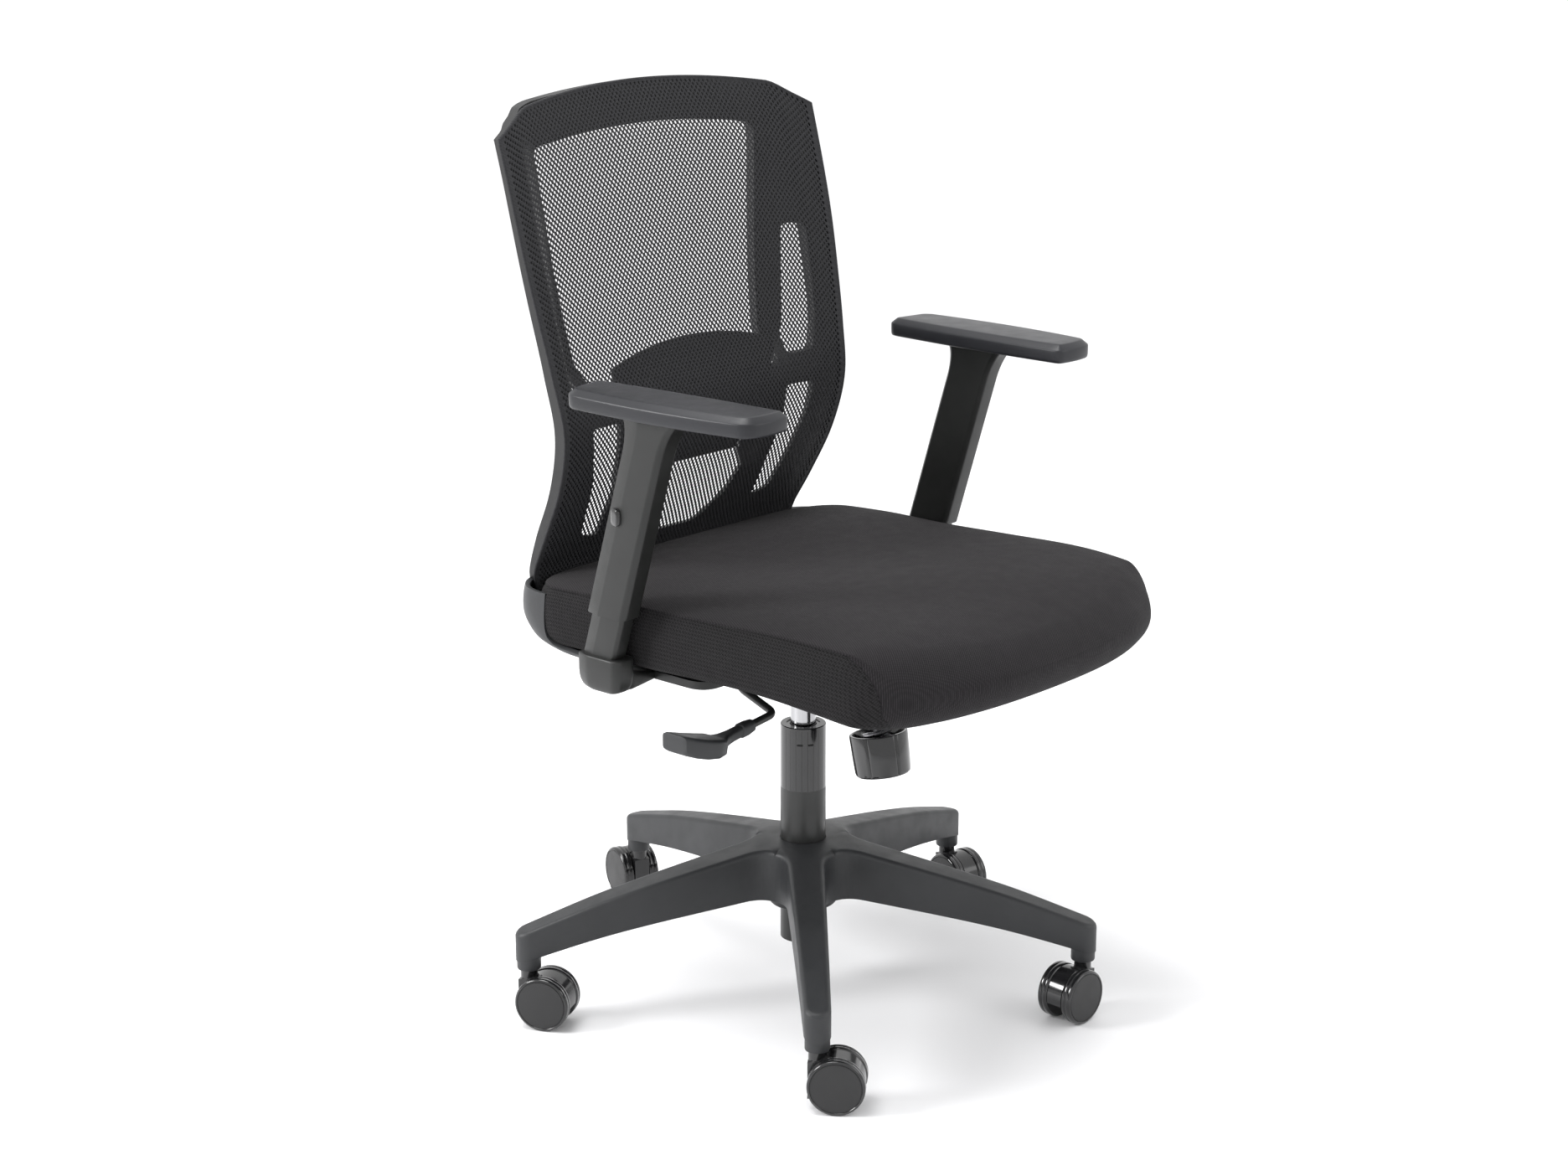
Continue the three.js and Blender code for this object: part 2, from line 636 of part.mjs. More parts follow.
// Half-width of the seat in plan: bowed at the nose, rounded into the back shell at the rear.
const seatHalfWidth = through([[SEAT_FRONT, 40], [-358, 105], [-346, 152], [-331, 190], [-310, 221],
  [-280, 237], [-200, SEAT_HALF], [100, SEAT_HALF], [136, 240], [151, 231], [165, 216], [180, 190],
  [190, 150], [SEAT_REAR, 90]]);

const SEAT_STATIONS = [SEAT_FRONT, -358, -346, -331, -310, -280, -240, -150, -60, 30, 100, 136, 151,
  165, 180, 190, SEAT_REAR];

// Plan loop round the seat, pulled in by an inset, at a height that depends on y.
function seatRing(inset, height) {
  const right = SEAT_STATIONS.map((y) => [seatHalfWidth(y), y]);
  const loop = [...right, ...right.map(([x, y]) => [-x, y]).reverse()];
  const middle = (SEAT_FRONT + SEAT_REAR) / 2;
  const [sx, sy] = [1 - inset / SEAT_HALF, 1 - inset / (SEAT_REAR - middle)];
  return loop.map(([x, y]) => {
    const pulled = middle + (y - middle) * sy;
    return new THREE.Vector3(x * sx, pulled, height(pulled));
  });
}

function seatCushion() {
  const crown = 6;
  return loft([
    seatRing(12, (y) => seatUnderside(y)),
    seatRing(3, (y) => seatUnderside(y) + 5),
    seatRing(0, (y) => lerp(seatUnderside(y), seatEdgeTop(y), 0.5)),
    seatRing(4, (y) => seatEdgeTop(y) - 6),
    seatRing(14, (y) => seatEdgeTop(y)),
    seatRing(70, (y) => seatEdgeTop(y) + crown),
    seatRing(170, (y) => seatEdgeTop(y) + crown),
  ]);
}

node('seat_cushion', seatCushion(), FABRIC);

function seatPan() {
  const base = loft([
    seatRing(PAN_INSET, (y) => seatUnderside(y) - GAP - PAN_THICKNESS),
    seatRing(PAN_INSET, (y) => seatUnderside(y) - GAP - 0.2),
  ]);
  const tongueTop = 408.4;
  const spacers = [[-55, -118], [55, -118], [-62, 30], [62, 30]].map(([x, y]) => bar(11,
    PLATE_TOP + GAP, seatUnderside(y) - 6, 20).translate(x, y, 0));
  const clearance = box(-90, 90, 36, 190, PLATE_TOP, tongueTop);
  const rear = box(-SEAT_HALF, SEAT_HALF, 116, 200, PLATE_TOP, 430);
  const step = box(-SEAT_HALF, SEAT_HALF, 80, 200, PLATE_TOP, 412);
  return cut(join(base, ...spacers), clearance, step, rear, ...boltHoles());
}

node('seat_pan', seatPan(), NYLON);

// ---------------------------------------------------------------- back

const meshEdgeY = through([[BACK_BOTTOM, 196], [520, 176], [580, 146], [640, 132], [700, 141],
  [760, 154], [850, 175], [940, 199], [BACK_TOP, 214]]);
const backHalfWidth = through([[BACK_BOTTOM, 213], [640, 222], [730, 229], [850, 237], [BACK_TOP, 240]]);
const meshDish = through([[BACK_BOTTOM, 3], [640, 8], [700, 13], [930, 22], [BACK_TOP, 25]]);
const rimDepth = through([[BACK_BOTTOM, 12], [560, 13], [640, 14], [730, 11], [880, 7], [BACK_TOP, 6]]);
const railSetback = through([[640, 50], [700, 53], [785, 48], [927, 31], [BACK_TOP, 24]]);

function topEdge(x) {
  const across = Math.abs(x);
  if (across < TOP_CORNER_X) return BACK_TOP - 15 * (across / TOP_CORNER_X) ** 2;
  return BACK_TOP - 15 - (across - TOP_CORNER_X) * 0.5;
}

// Where a board's (u, v) lies in the back's outline: x across, z up under the arched top.
function backPoint(u, v, inset, bottom) {
  const rough = lerp(bottom, BACK_TOP, v);
  const x = (u * 2 - 1) * (backHalfWidth(rough) - inset);
  return [x, lerp(bottom, topEdge(x) - inset, v)];
}

function meshFrontY(x, z) {
  return meshEdgeY(z) + meshDish(z) * (1 - (x / backHalfWidth(z)) ** 2);
}

// How far the moulded frame stands back from the mesh's edge line.
function frameSetback(x, z) {
  const across = Math.abs(x);
  const edge = backHalfWidth(z) - 16;
  const upper = railSetback(z) * (1 - smoothstep(across, 155, edge));
  const lower = 7 * (1 - smoothstep(across, edge - 30, edge)) + 20 * (1 - smoothstep(across, 104, 128));
  return MESH_THICKNESS + FRAME_CLEARANCE + lerp(lower, upper, smoothstep(z, 640, 700));
}

function backMesh() {
  const front = (u, v) => {
    const [x, z] = backPoint(u, v, 0, BACK_BOTTOM);
    return new THREE.Vector3(x, meshFrontY(x, z), z);
  };
  const back = (u, v) => front(u, v).add(new THREE.Vector3(0, MESH_THICKNESS, 0));
  return board(12, 16, front, back);
}

node('back_mesh', backMesh(), MESH);

// Openings of the frame, in front view, for the sitter's left side (+X) or right side (-X).
function sideWindows(side) {
  const upper = [[154, 664], [184, 664], [192, 812], [172, 812]];
  const lower = [[126, 630], [178, 630], [150, 506], [134, 510]];
  return [upper, lower].map((points) => outline(points.map(([x, z]) => [x * side, z])));
}

function mainWindow() {
  const shape = new THREE.Shape();
  shape.moveTo(-138, 690);
  shape.lineTo(138, 690);
  shape.lineTo(152, 785);
  shape.lineTo(167, 924);
  shape.quadraticCurveTo(0, 952, -167, 924);
  shape.lineTo(-152, 785);
  return shape;
}

function lowerWindow() {
  return outline([[-96, 640], [-78, 584], [-28, 520], [28, 520], [78, 584], [96, 640]]);
}

function backFrame() {
  const inset = 2;
  const bottom = BACK_BOTTOM + 1;
  const front = (u, v) => {
    const [x, z] = backPoint(u, v, inset, bottom);
    return new THREE.Vector3(x, meshEdgeY(z) + Math.max(frameSetback(x, z),
      meshFrontY(x, z) - meshEdgeY(z) + MESH_THICKNESS + FRAME_CLEARANCE), z);
  };
  const back = (u, v) => {
    const [x, z] = backPoint(u, v, inset, bottom);
    const rim = smoothstep(Math.abs(x), backHalfWidth(z) - 30, backHalfWidth(z) - 14);
    return front(u, v).add(new THREE.Vector3(0, lerp(BAR_THICKNESS, rimDepth(z), rim), 0));
  };
  const windows = [mainWindow(), lowerWindow(), ...sideWindows(-1), ...sideWindows(1)];
  return cut(board(26, 22, front, back), ...windows.map((shape) => prismY(shape, 60, 360)));
}

node('back_frame', backFrame(), NYLON);

const LUMBAR_HALF = 110;
const LUMBAR_THICKNESS = 6;
const LUMBAR_CLEARANCE = 5;      // lets the pad slide straight up behind the curved mesh

function lumbarPad() {
  const at = (u, v) => {
    const x = (u * 2 - 1) * LUMBAR_HALF * lerp(0.62, 1, smoothstep(v, 0, 0.55));
    const crest = 14 * (1 - (x / LUMBAR_HALF) ** 2);
    return [x, lerp(577, 699 + crest, v)];
  };
  const front = (u, v) => {
    const [x, z] = at(u, v);
    return new THREE.Vector3(x, meshFrontY(x, z) + MESH_THICKNESS + LUMBAR_CLEARANCE, z);
  };
  const back = (u, v) => front(u, v).add(new THREE.Vector3(0, LUMBAR_THICKNESS, 0));
  return board(10, 8, front, back);
}

node('lumbar_pad', lumbarPad(), NYLON);

// The shell that joins the back to the seat: a tub with round corners in plan, whose rear wall
// bulges and whose front is cut back to the line where the cushion's side begins.
const SHELL_CORNER = 55;
const shellRear = through([[403, 120], [408, 156], [414, 178], [422, 198], [440, 214], [462, 216],
  [BACK_BOTTOM + 2, 209]]);
const shellHalf = through([[403, 214], [412, 236], [430, SHELL_HALF], [BACK_BOTTOM + 2, SHELL_HALF - 2]]);

function shellRing(z, inset, lift) {
  const [half, rear] = [shellHalf(z) - inset, shellRear(z) - inset];
  const corner = SHELL_CORNER - inset;
  const points = [new THREE.Vector3(half, 60, z + lift)];
  for (let i = 0; i <= 6; i += 1) {
    const a = (i / 6) * (Math.PI / 2);
    points.push(new THREE.Vector3(half - corner + corner * Math.cos(a),
      rear - corner + corner * Math.sin(a), z + lift));
  }
  const other = points.map((p) => new THREE.Vector3(-p.x, p.y, p.z)).reverse();
  return [...points, ...other];
}

const SHELL_LEVELS = [403, 407, 412, 420, 430, 445, 465, BACK_BOTTOM];

function backBracket() {
  const outer = loft(SHELL_LEVELS.map((z) => shellRing(z, 0, 0)));
  const hollow = loft([...SHELL_LEVELS.map((z) => shellRing(z, SHELL_WALL, SHELL_WALL)),
    shellRing(BACK_BOTTOM, SHELL_WALL, SHELL_WALL + 10)]);
  const cushionSide = prismX(outline([[50, 390], [84, 390], [84, 416], [122, 417], [142, 419],
    [153, 426], [157, 441], [157, 466], [150, 500], [50, 500]]), -SHELL_HALF - 5, SHELL_HALF + 5);
  const tongue = box(-80, 80, 40, 96, PLATE_TOP + GAP, PLATE_TOP + GAP + 5.4);
  return cut(join(cut(outer, hollow, cushionSide), tongue), ...boltHoles());
}

node('back_bracket', backBracket(), NYLON);

// ---------------------------------------------------------------- arms

const armY = (z) => ARM_FOOT_Y - ARM_LEAN * (z - BOOT_TOP);

// Section across the arm: flat outer face, a bevel on its rear outer edge. Outer side is -X.
function armSection(halfX, halfY, bevelX, bevelY, corner) {
  return [
    [-halfX, -halfY + corner], [-halfX + corner, -halfY], [halfX - corner, -halfY],
    [halfX, -halfY + corner], [halfX, halfY - corner], [halfX - corner, halfY],
    [-halfX + bevelX, halfY], [-halfX, halfY - bevelY],
  ];
}

function armColumn(section, levels) {
  return loft(levels.map(([z, stretch]) => section.map(([x, y]) =>
    new THREE.Vector3(x - ARM_X, y * stretch + armY(z), z))));
}

const SLEEVE_SECTION = armSection(14, 28, 6, 20, 5);
const POCKET_SECTION = armSection(10.4, 24.2, 5, 17, 3);
const POST_SECTION = armSection(10, 23.8, 5, 17, 3);

function armBracket() {
  const boot = loft([
    [396, 0.8], [399, 0.9], [412, 1], [BOOT_TOP, 1],
  ].map(([z, size]) => armSection(15, 31, 6, 18, 6).map(([x, y]) =>
    new THREE.Vector3(x * size - ARM_X, y * size + ARM_FOOT_Y, z))));
  const arm = box(-255, -140, 24, 64, 398, 406.5);
  const foot = box(-200, -140, -46, 64, 398, 406.5);
  return join(boot, arm, foot);
}

function armSleeve() {
  const body = armColumn(SLEEVE_SECTION, [
    [SLEEVE_BOTTOM, 1], [660, 1], [676, 1.07], [686, 1.25], [SLEEVE_TOP, 1.5],
  ]);
  const pocket = armColumn(POCKET_SECTION, [[SLEEVE_BOTTOM - 3, 1], [652, 1]]);
  return cut(body, pocket, armButtonShape(7.4, 9.9, 8, -8));
}

// The button sits on the sleeve's rear bevel, pointing out along the bevel's normal.
const BUTTON_Z = 586;
const BUTTON_TURN = Math.atan2(6, 20);

function armButtonShape(halfWide, halfTall, outer, inner) {
  const shape = new THREE.Shape();
  shape.absellipse(0, 0, halfWide, halfTall, 0, Math.PI * 2);
  return prismX(shape, -outer, -inner, 8)
    .rotateZ(-BUTTON_TURN)
    .translate(-ARM_X - 12.6, armY(BUTTON_Z) + 11.5, BUTTON_Z);
}

function armPad() {
  const plan = new THREE.Shape();
  plan.moveTo(-226, -174);
  plan.quadraticCurveTo(-246, -178, -266, -174);
  plan.quadraticCurveTo(-277, -171, -280, -160);
  plan.quadraticCurveTo(-297, -60, -289, 52);
  plan.quadraticCurveTo(-286, 65, -275, 69);
  plan.lineTo(-242, 75);
  plan.quadraticCurveTo(-231, 76, -228, 64);
  plan.quadraticCurveTo(-217, -50, -218, -166);
  const chamfer = 4;
  return new THREE.ExtrudeGeometry(plan, {
    depth: PAD_TOP - PAD_BOTTOM - 2 * chamfer, curveSegments: 5, bevelEnabled: true,
    bevelThickness: chamfer, bevelSize: chamfer, bevelOffset: -chamfer, bevelSegments: 1,
  }).translate(0, 0, PAD_BOTTOM + chamfer);
}

// Each arm is modelled on the sitter's right (-X) and mirrored for the left.
function mirrored(geometry) {
  return outward(closed(geometry.scale(-1, 1, 1)));
}

const ARM_PIECES = [
  ['arm_bracket', armBracket, NYLON],
  ['arm_post', () => armColumn(POST_SECTION, [[BOOT_TOP + GAP, 1], [612, 1]]), NYLON],
  ['arm_sleeve', armSleeve, NYLON],
  ['arm_button', () => armButtonShape(6.6, 9.1, 3.2, -0.6), GLOSS],
  ['arm_pad', armPad, SATIN],
];

for (const [name, make, finish] of ARM_PIECES) {
  node(`${name}_right`, make(), finish);
  node(`${name}_left`, mirrored(make()), finish);
}

export default chair;
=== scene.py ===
"""Swivel office chair: the looks of every piece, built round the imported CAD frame.

Shapes are worked out in millimetres about the column's axis. placed() turns them into metres in
the frame, whose origin lies beside the column.
+Z is up, the sitter faces -Y, and the sitter's right is -X.
"""

import math

import bmesh
import bpy
from mathutils import Matrix, Vector


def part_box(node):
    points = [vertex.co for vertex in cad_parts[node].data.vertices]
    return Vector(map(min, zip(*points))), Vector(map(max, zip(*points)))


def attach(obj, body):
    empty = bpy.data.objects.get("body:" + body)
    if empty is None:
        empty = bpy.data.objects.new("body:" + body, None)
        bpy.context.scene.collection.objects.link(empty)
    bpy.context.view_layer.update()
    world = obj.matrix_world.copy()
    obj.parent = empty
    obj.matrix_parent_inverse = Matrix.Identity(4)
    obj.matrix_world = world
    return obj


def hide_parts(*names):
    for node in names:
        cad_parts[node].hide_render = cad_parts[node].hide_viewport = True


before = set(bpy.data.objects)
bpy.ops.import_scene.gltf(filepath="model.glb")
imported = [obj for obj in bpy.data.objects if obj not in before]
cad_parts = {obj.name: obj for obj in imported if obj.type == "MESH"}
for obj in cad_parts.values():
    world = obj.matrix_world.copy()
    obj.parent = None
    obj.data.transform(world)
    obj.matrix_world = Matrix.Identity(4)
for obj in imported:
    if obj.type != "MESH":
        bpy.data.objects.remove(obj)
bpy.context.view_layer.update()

MM = 0.001
COLUMN = Vector((-0.0173, 0, 0))


def placed(point):
    """A point in millimetres about the column, as metres in the frame."""
    return Vector(point) * MM + COLUMN


# ---------- camera, floor and light

scene = bpy.context.scene


def aim(obj, place, target):
    obj.location = place
    obj.rotation_euler = (Vector(target) - Vector(place)).to_track_quat("-Z", "Y").to_euler()


def make_camera():
    camera = bpy.data.cameras.new("camera")
    camera.lens = 64.71
    camera.sensor_width = 36
    camera_object = bpy.data.objects.new("camera", camera)
    scene.collection.objects.link(camera_object)
    aim(camera_object, (-2.2189, -1.9211, 1.2782), (-0.0313, 0.0157, 0.4569))
    scene.camera = camera_object


def area_light(name, place, target, size, power):
    light = bpy.data.lights.new(name, "AREA")
    light.shape = "DISK"
    light.size = size
    light.energy = power
    lamp = bpy.data.objects.new(name, light)
    scene.collection.objects.link(lamp)
    aim(lamp, place, target)


make_camera()
area_light("top", (-0.6, 0.4, 3.2), (0, 0, 0.5), 1.8, 60)
area_light("rear_left", (-2.6, 1.9, 1.9), (0, 0, 0.6), 1.2, 85)
area_light("fill", (1.2, -3.0, 2.0), (0, 0, 0.5), 2.0, 20)

world = bpy.data.worlds.new("studio")
world.use_nodes = True
background = world.node_tree.nodes["Background"]
background.inputs["Color"].default_value = (1, 1, 1, 1)
background.inputs["Strength"].default_value = 1.1
scene.world = world
scene.view_settings.view_transform = "Standard"

# ---------- materials


class Finish:
    """A node material. Plain numbers go straight onto the shader's own sockets."""

    def __init__(self, name, **sockets):
        self.material = bpy.data.materials.new(name)
        self.material.use_nodes = True
        self.tree = self.material.node_tree
        self.shader = self.tree.nodes["Principled BSDF"]
        self.place = self.add("ShaderNodeTexCoord").outputs["Object"]
        for socket, value in sockets.items():
            self.shader.inputs[socket.replace("_", " ")].default_value = value

    def add(self, kind, inputs=None, **settings):
        node = self.tree.nodes.new(kind)
        for key, value in settings.items():
            setattr(node, key, value)
        for key, value in (inputs or {}).items():
            if isinstance(value, bpy.types.NodeSocket):
                self.tree.links.new(value, node.inputs[key])
            else:
                node.inputs[key].default_value = value
        return node

    def noise(self, scale, detail=2.0, place=None):
        inputs = {"Vector": place or self.place, "Scale": scale, "Detail": detail}
        return self.add("ShaderNodeTexNoise", inputs).outputs["Fac"]

    def turned(self, degrees, stretch=(1, 1, 1)):
        angles = tuple(math.radians(a) for a in degrees)
        inputs = {"Vector": self.place, "Rotation": angles, "Scale": stretch}
        return self.add("ShaderNodeMapping", inputs).outputs["Vector"]

    def bands(self, pitch, place, axis="X", wobble=0.0):
        """Ridges across an axis, one every pitch metres."""
        per_unit = 2 * math.pi / 20
        inputs = {"Vector": place, "Scale": per_unit / pitch, "Distortion": wobble,
                  "Detail": 1.0, "Detail Scale": 2.0}
        node = self.add("ShaderNodeTexWave", inputs, bands_direction=axis)
        return node.outputs["Fac"]

    def maths(self, operation, a, b):
        return self.add("ShaderNodeMath", {0: a, 1: b}, operation=operation).outputs[0]

    def spread(self, value, low, high, start=0.0, end=1.0):
        inputs = {"Value": value, "From Min": start, "From Max": end, "To Min": low, "To Max": high}
        return self.add("ShaderNodeMapRange", inputs).outputs["Result"]

    def colour(self, value, dark, light, start=0.3, end=0.7):
        node = self.add("ShaderNodeValToRGB", {"Fac": value})
        for stop, at, shade in zip(node.color_ramp.elements, (start, end), (dark, light)):
            stop.position = at
            stop.color = (*shade, 1)
        self.tree.links.new(node.outputs["Color"], self.shader.inputs["Base Color"])

    def rough(self, value, low, high, start=0.3, end=0.7):
        result = self.spread(value, low, high, start, end)
        self.tree.links.new(result, self.shader.inputs["Roughness"])

    def bump(self, height, depth):
        """Relief of this many metres."""
        node = self.add("ShaderNodeBump", {"Height": height, "Distance": depth, "Strength": 1.0})
        self.tree.links.new(node.outputs["Normal"], self.shader.inputs["Normal"])


def moulded(name, dark, light, rough, grain, depth, **sockets):
    """Moulded plastic: faint colour drift, uneven gloss and a fine spark-eroded grain."""
    finish = Finish(name, **sockets)
    finish.colour(finish.noise(9.0), dark, light)
    finish.rough(finish.noise(45.0, 3.0), *rough)
    finish.bump(finish.noise(grain, 1.0), depth)
    return finish.material


def ribbed_fabric():
    """Seat top: fine raised ribs with a little fuzz."""
    finish = Finish("seat_rib_fabric", Sheen_Weight=0.03, Sheen_Roughness=0.5, Specular_IOR_Level=0.12)
    ribs = finish.bands(0.0022, finish.turned((0, 0, 32)), wobble=0.6)
    stitches = finish.bands(0.0016, finish.turned((0, 0, 32)), axis="Y", wobble=0.8)
    weave = finish.maths("MULTIPLY", ribs, finish.spread(stitches, 0.55, 1.0))
    fuzz = finish.maths("ADD", weave, finish.spread(finish.noise(900.0), -0.2, 0.2))
    finish.colour(fuzz, (0.011, 0.0102, 0.011), (0.027, 0.0247, 0.027), 0.05, 0.95)
    finish.rough(finish.noise(60.0), 0.82, 0.95)
    finish.bump(fuzz, 0.0003)
    return finish.material


def knit_fabric():
    """Seat sides: a coarser twill knit, with lines crossing on the slant."""
    finish = Finish("seat_side_knit", Sheen_Weight=0.02, Sheen_Roughness=0.5, Specular_IOR_Level=0.1)
    rising = finish.bands(0.0030, finish.turned((0, 45, 0)), wobble=0.5)
    along = finish.bands(0.0030, finish.turned((45, 0, 0)), axis="Y", wobble=0.5)
    cross = finish.bands(0.0021, finish.turned((-45, 0, 0)), axis="Y", wobble=0.4)
    weave = finish.maths("MULTIPLY", finish.maths("MAXIMUM", rising, along),
                         finish.spread(cross, 0.5, 1.0))
    fuzz = finish.maths("ADD", weave, finish.spread(finish.noise(800.0), -0.15, 0.15))
    finish.colour(fuzz, (0.006, 0.0058, 0.006), (0.020, 0.0190, 0.020), 0.05, 0.95)
    finish.rough(finish.noise(60.0), 0.82, 0.95)
    finish.bump(fuzz, 0.0006)
    return finish.material


def mesh_yarn():
    """Knitted polyester yarn of the back."""
    finish = Finish("mesh_yarn", Sheen_Weight=0.02, Sheen_Roughness=0.4, Specular_IOR_Level=0.2)
    strands = finish.bands(0.0011, finish.turned((0, 0, 0)), axis="Z", wobble=1.5)
    finish.colour(strands, (0.013, 0.013, 0.0145), (0.036, 0.036, 0.039), 0.1, 0.9)
    finish.rough(finish.noise(200.0), 0.6, 0.8)
    finish.bump(strands, 0.0002)
    return finish.material


def brushed_metal(name, shade, rough):
    finish = Finish(name, Metallic=1.0)
    streaks = finish.noise(250.0, 2.0, finish.turned((0, 0, 0), (1, 1, 0.05)))
    finish.colour(streaks, tuple(0.85 * c for c in shade), shade)
    finish.rough(streaks, *rough)
    finish.bump(streaks, 0.00002)
    return finish.material


def pale_floor():
    finish = Finish("pale_floor", Specular_IOR_Level=0.25)
    finish.colour(finish.noise(1.5), (0.89, 0.89, 0.90), (0.91, 0.91, 0.92))
    finish.rough(finish.noise(6.0), 0.5, 0.6)
    return finish.material


NYLON = moulded("nylon", (0.019, 0.020, 0.0215), (0.025, 0.026, 0.028), (0.40, 0.52), 1500.0, 0.00012,
                Specular_IOR_Level=0.4)
ARM_PLASTIC = moulded("arm_plastic", (0.009, 0.0095, 0.009), (0.012, 0.0125, 0.012),
                      (0.36, 0.46), 1800.0, 0.00008, Specular_IOR_Level=0.4)
PAD_SKIN = moulded("pad_skin", (0.013, 0.0135, 0.016), (0.017, 0.0175, 0.021),
                   (0.34, 0.42), 2200.0, 0.00005, Specular_IOR_Level=0.35)
GLOSS = moulded("gloss_plastic", (0.006, 0.006, 0.0065), (0.010, 0.010, 0.011),
                (0.10, 0.20), 500.0, 0.00001, Coat_Weight=0.3, Coat_Roughness=0.08)
WHEEL_DISC = moulded("wheel_disc", (0.008, 0.008, 0.0085), (0.012, 0.012, 0.0125),
                     (0.38, 0.48), 1600.0, 0.00008)
PAINTED = moulded("painted_steel", (0.010, 0.0105, 0.010), (0.014, 0.0145, 0.014),
                  (0.30, 0.40), 700.0, 0.00004)
# Darker copy of the moulded plastic, with painted shade: the back frame and lumbar plate sit in shade behind
# the mesh
SHADOW_PLASTIC = moulded("frame_plastic_painted_shade", (0.004, 0.004, 0.0045), (0.007, 0.007, 0.0075),
                         (0.45, 0.55), 1500.0, 0.0001)
FABRIC_TOP = ribbed_fabric()
FABRIC_SIDE = knit_fabric()
YARN = mesh_yarn()
CHROME = brushed_metal("chrome", (0.42, 0.42, 0.43), (0.10, 0.18))
STEEL = brushed_metal("steel", (0.42, 0.42, 0.44), (0.25, 0.4))

# ---------- shape helpers


def lerp(a, b, t):
    return a + (b - a) * t


def clamp(value, low, high):
    return max(low, min(high, value))


def smoothstep(value, start, end):
    t = clamp((value - start) / (end - start), 0, 1)
    return t * t * (3 - 2 * t)


def through(pairs):
    """A smooth function through (input, output) pairs, flat beyond the two ends."""
    def slope(i):
        a, b = pairs[max(i - 1, 0)], pairs[min(i + 1, len(pairs) - 1)]
        return (b[1] - a[1]) / (b[0] - a[0])

    def value(at):
        x = clamp(at, pairs[0][0], pairs[-1][0])
        i = next(k for k in range(1, len(pairs)) if pairs[k][0] >= x) - 1
        (x0, y0), (x1, y1) = pairs[i], pairs[i + 1]
        h, t = x1 - x0, (x - x0) / (x1 - x0)
        bend = slope(i) * t * (1 - t) ** 2 - slope(i + 1) * t * t * (1 - t)
        return lerp(y0, y1, t * t * (3 - 2 * t)) + h * bend

    return value


def grid(columns, rows, at):
    """A sheet of quads over the unit square."""
    points = [at(i / columns, j / rows) for j in range(rows + 1) for i in range(columns + 1)]
    faces = []
    for j in range(rows):
        for i in range(columns):
            a = j * (columns + 1) + i
            faces.append((a, a + 1, a + columns + 2, a + columns + 1))
    return points, faces


def loft(rings, closed=True):
    """A skin through rings of equal point counts, with a flat face over each end."""
    n = len(rings[0])
    points = [p for ring in rings for p in ring]
    faces = []
    for j in range(len(rings) - 1):
        for i in range(n):
            a, b = j * n + i, j * n + (i + 1) % n
            faces.append((a, b, b + n, a + n))
    if closed:
        last = (len(rings) - 1) * n
        faces.append(tuple(reversed(range(n))))
        faces.append(tuple(range(last, last + n)))
    return points, faces


def turned(profile, sides=64):
    """A skin of revolution about Z through (radius, height) pairs."""
    rings = []
    for radius, height in profile:
        angles = (2 * math.pi * i / sides for i in range(sides))
        rings.append([(radius * math.cos(a), radius * math.sin(a), height) for a in angles])
    return loft(rings, closed=False)


def moved(part, matrix):
    points, faces = part
    return [matrix @ Vector(p) for p in points], faces


def together(*parts):
    points, faces = [], []
    for part_points, part_faces in parts:
        start = len(points)
        points.extend(part_points)
        faces.extend(tuple(start + i for i in face) for face in part_faces)
    return points, faces


def mirrored(part):
    points, faces = part
    return [(-p[0], p[1], p[2]) for p in points], faces


def tube(path, radius, sides=16):
    """A round rod along a list of points, closed at both ends."""
    path = [Vector(p) for p in path]
    rings = []
    side = None
    for i, point in enumerate(path):
        ahead = (path[min(i + 1, len(path) - 1)] - path[max(i - 1, 0)]).normalized()
        if side is None:
            side = ahead.orthogonal().normalized()
        side = (side - ahead * side.dot(ahead)).normalized()
        other = ahead.cross(side)
        angles = (2 * math.pi * k / sides for k in range(sides))
        rings.append([point + radius * (side * math.cos(a) + other * math.sin(a)) for a in angles])
    return loft(rings)


def new_mesh(name, part):
    points, faces = part
    mesh = bpy.data.meshes.new(name)
    mesh.from_pydata([placed(p) for p in points], [], faces)
    return mesh


def new_object(name, mesh):
    obj = bpy.data.objects.new(name, mesh)
    scene.collection.objects.link(obj)
    return obj


def piece(name, body, slot, part, *materials, replaces=(), sharp=None, paint=None):
    """A new object that rides on a body. paint picks each face's material from its middle, in mm."""
    mesh = new_mesh(name, part)
    shape = bmesh.new()
    shape.from_mesh(mesh)
    bmesh.ops.remove_doubles(shape, verts=shape.verts, dist=0.02 * MM)
    bmesh.ops.recalc_face_normals(shape, faces=shape.faces)
    for face in shape.faces:
        face.smooth = True
        if paint:
            face.material_index = paint((face.calc_center_median() - COLUMN) / MM)
    shape.to_mesh(mesh)
    shape.free()
    for material in materials:
        mesh.materials.append(material)
    if sharp:
        mesh.set_sharp_from_angle(angle=math.radians(sharp))
    obj = new_object(name, mesh)
    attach(obj, body)
    if replaces:
        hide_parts(*replaces)
    return obj


def bevelled(obj, width, segments=3, angle=35):
    """Rounds the sharp edges, width in mm."""
    bevel = obj.modifiers.new("round", "BEVEL")
    bevel.width = width * MM
    bevel.segments = segments
    bevel.limit_method = "ANGLE"
    bevel.angle_limit = math.radians(angle)
    bevel.harden_normals = True
    return obj


def thickened(obj, thickness, offset=-1.0):
    solid = obj.modifiers.new("thick", "SOLIDIFY")
    solid.thickness = thickness * MM
    solid.offset = offset
    solid.use_even_offset = True
    return obj


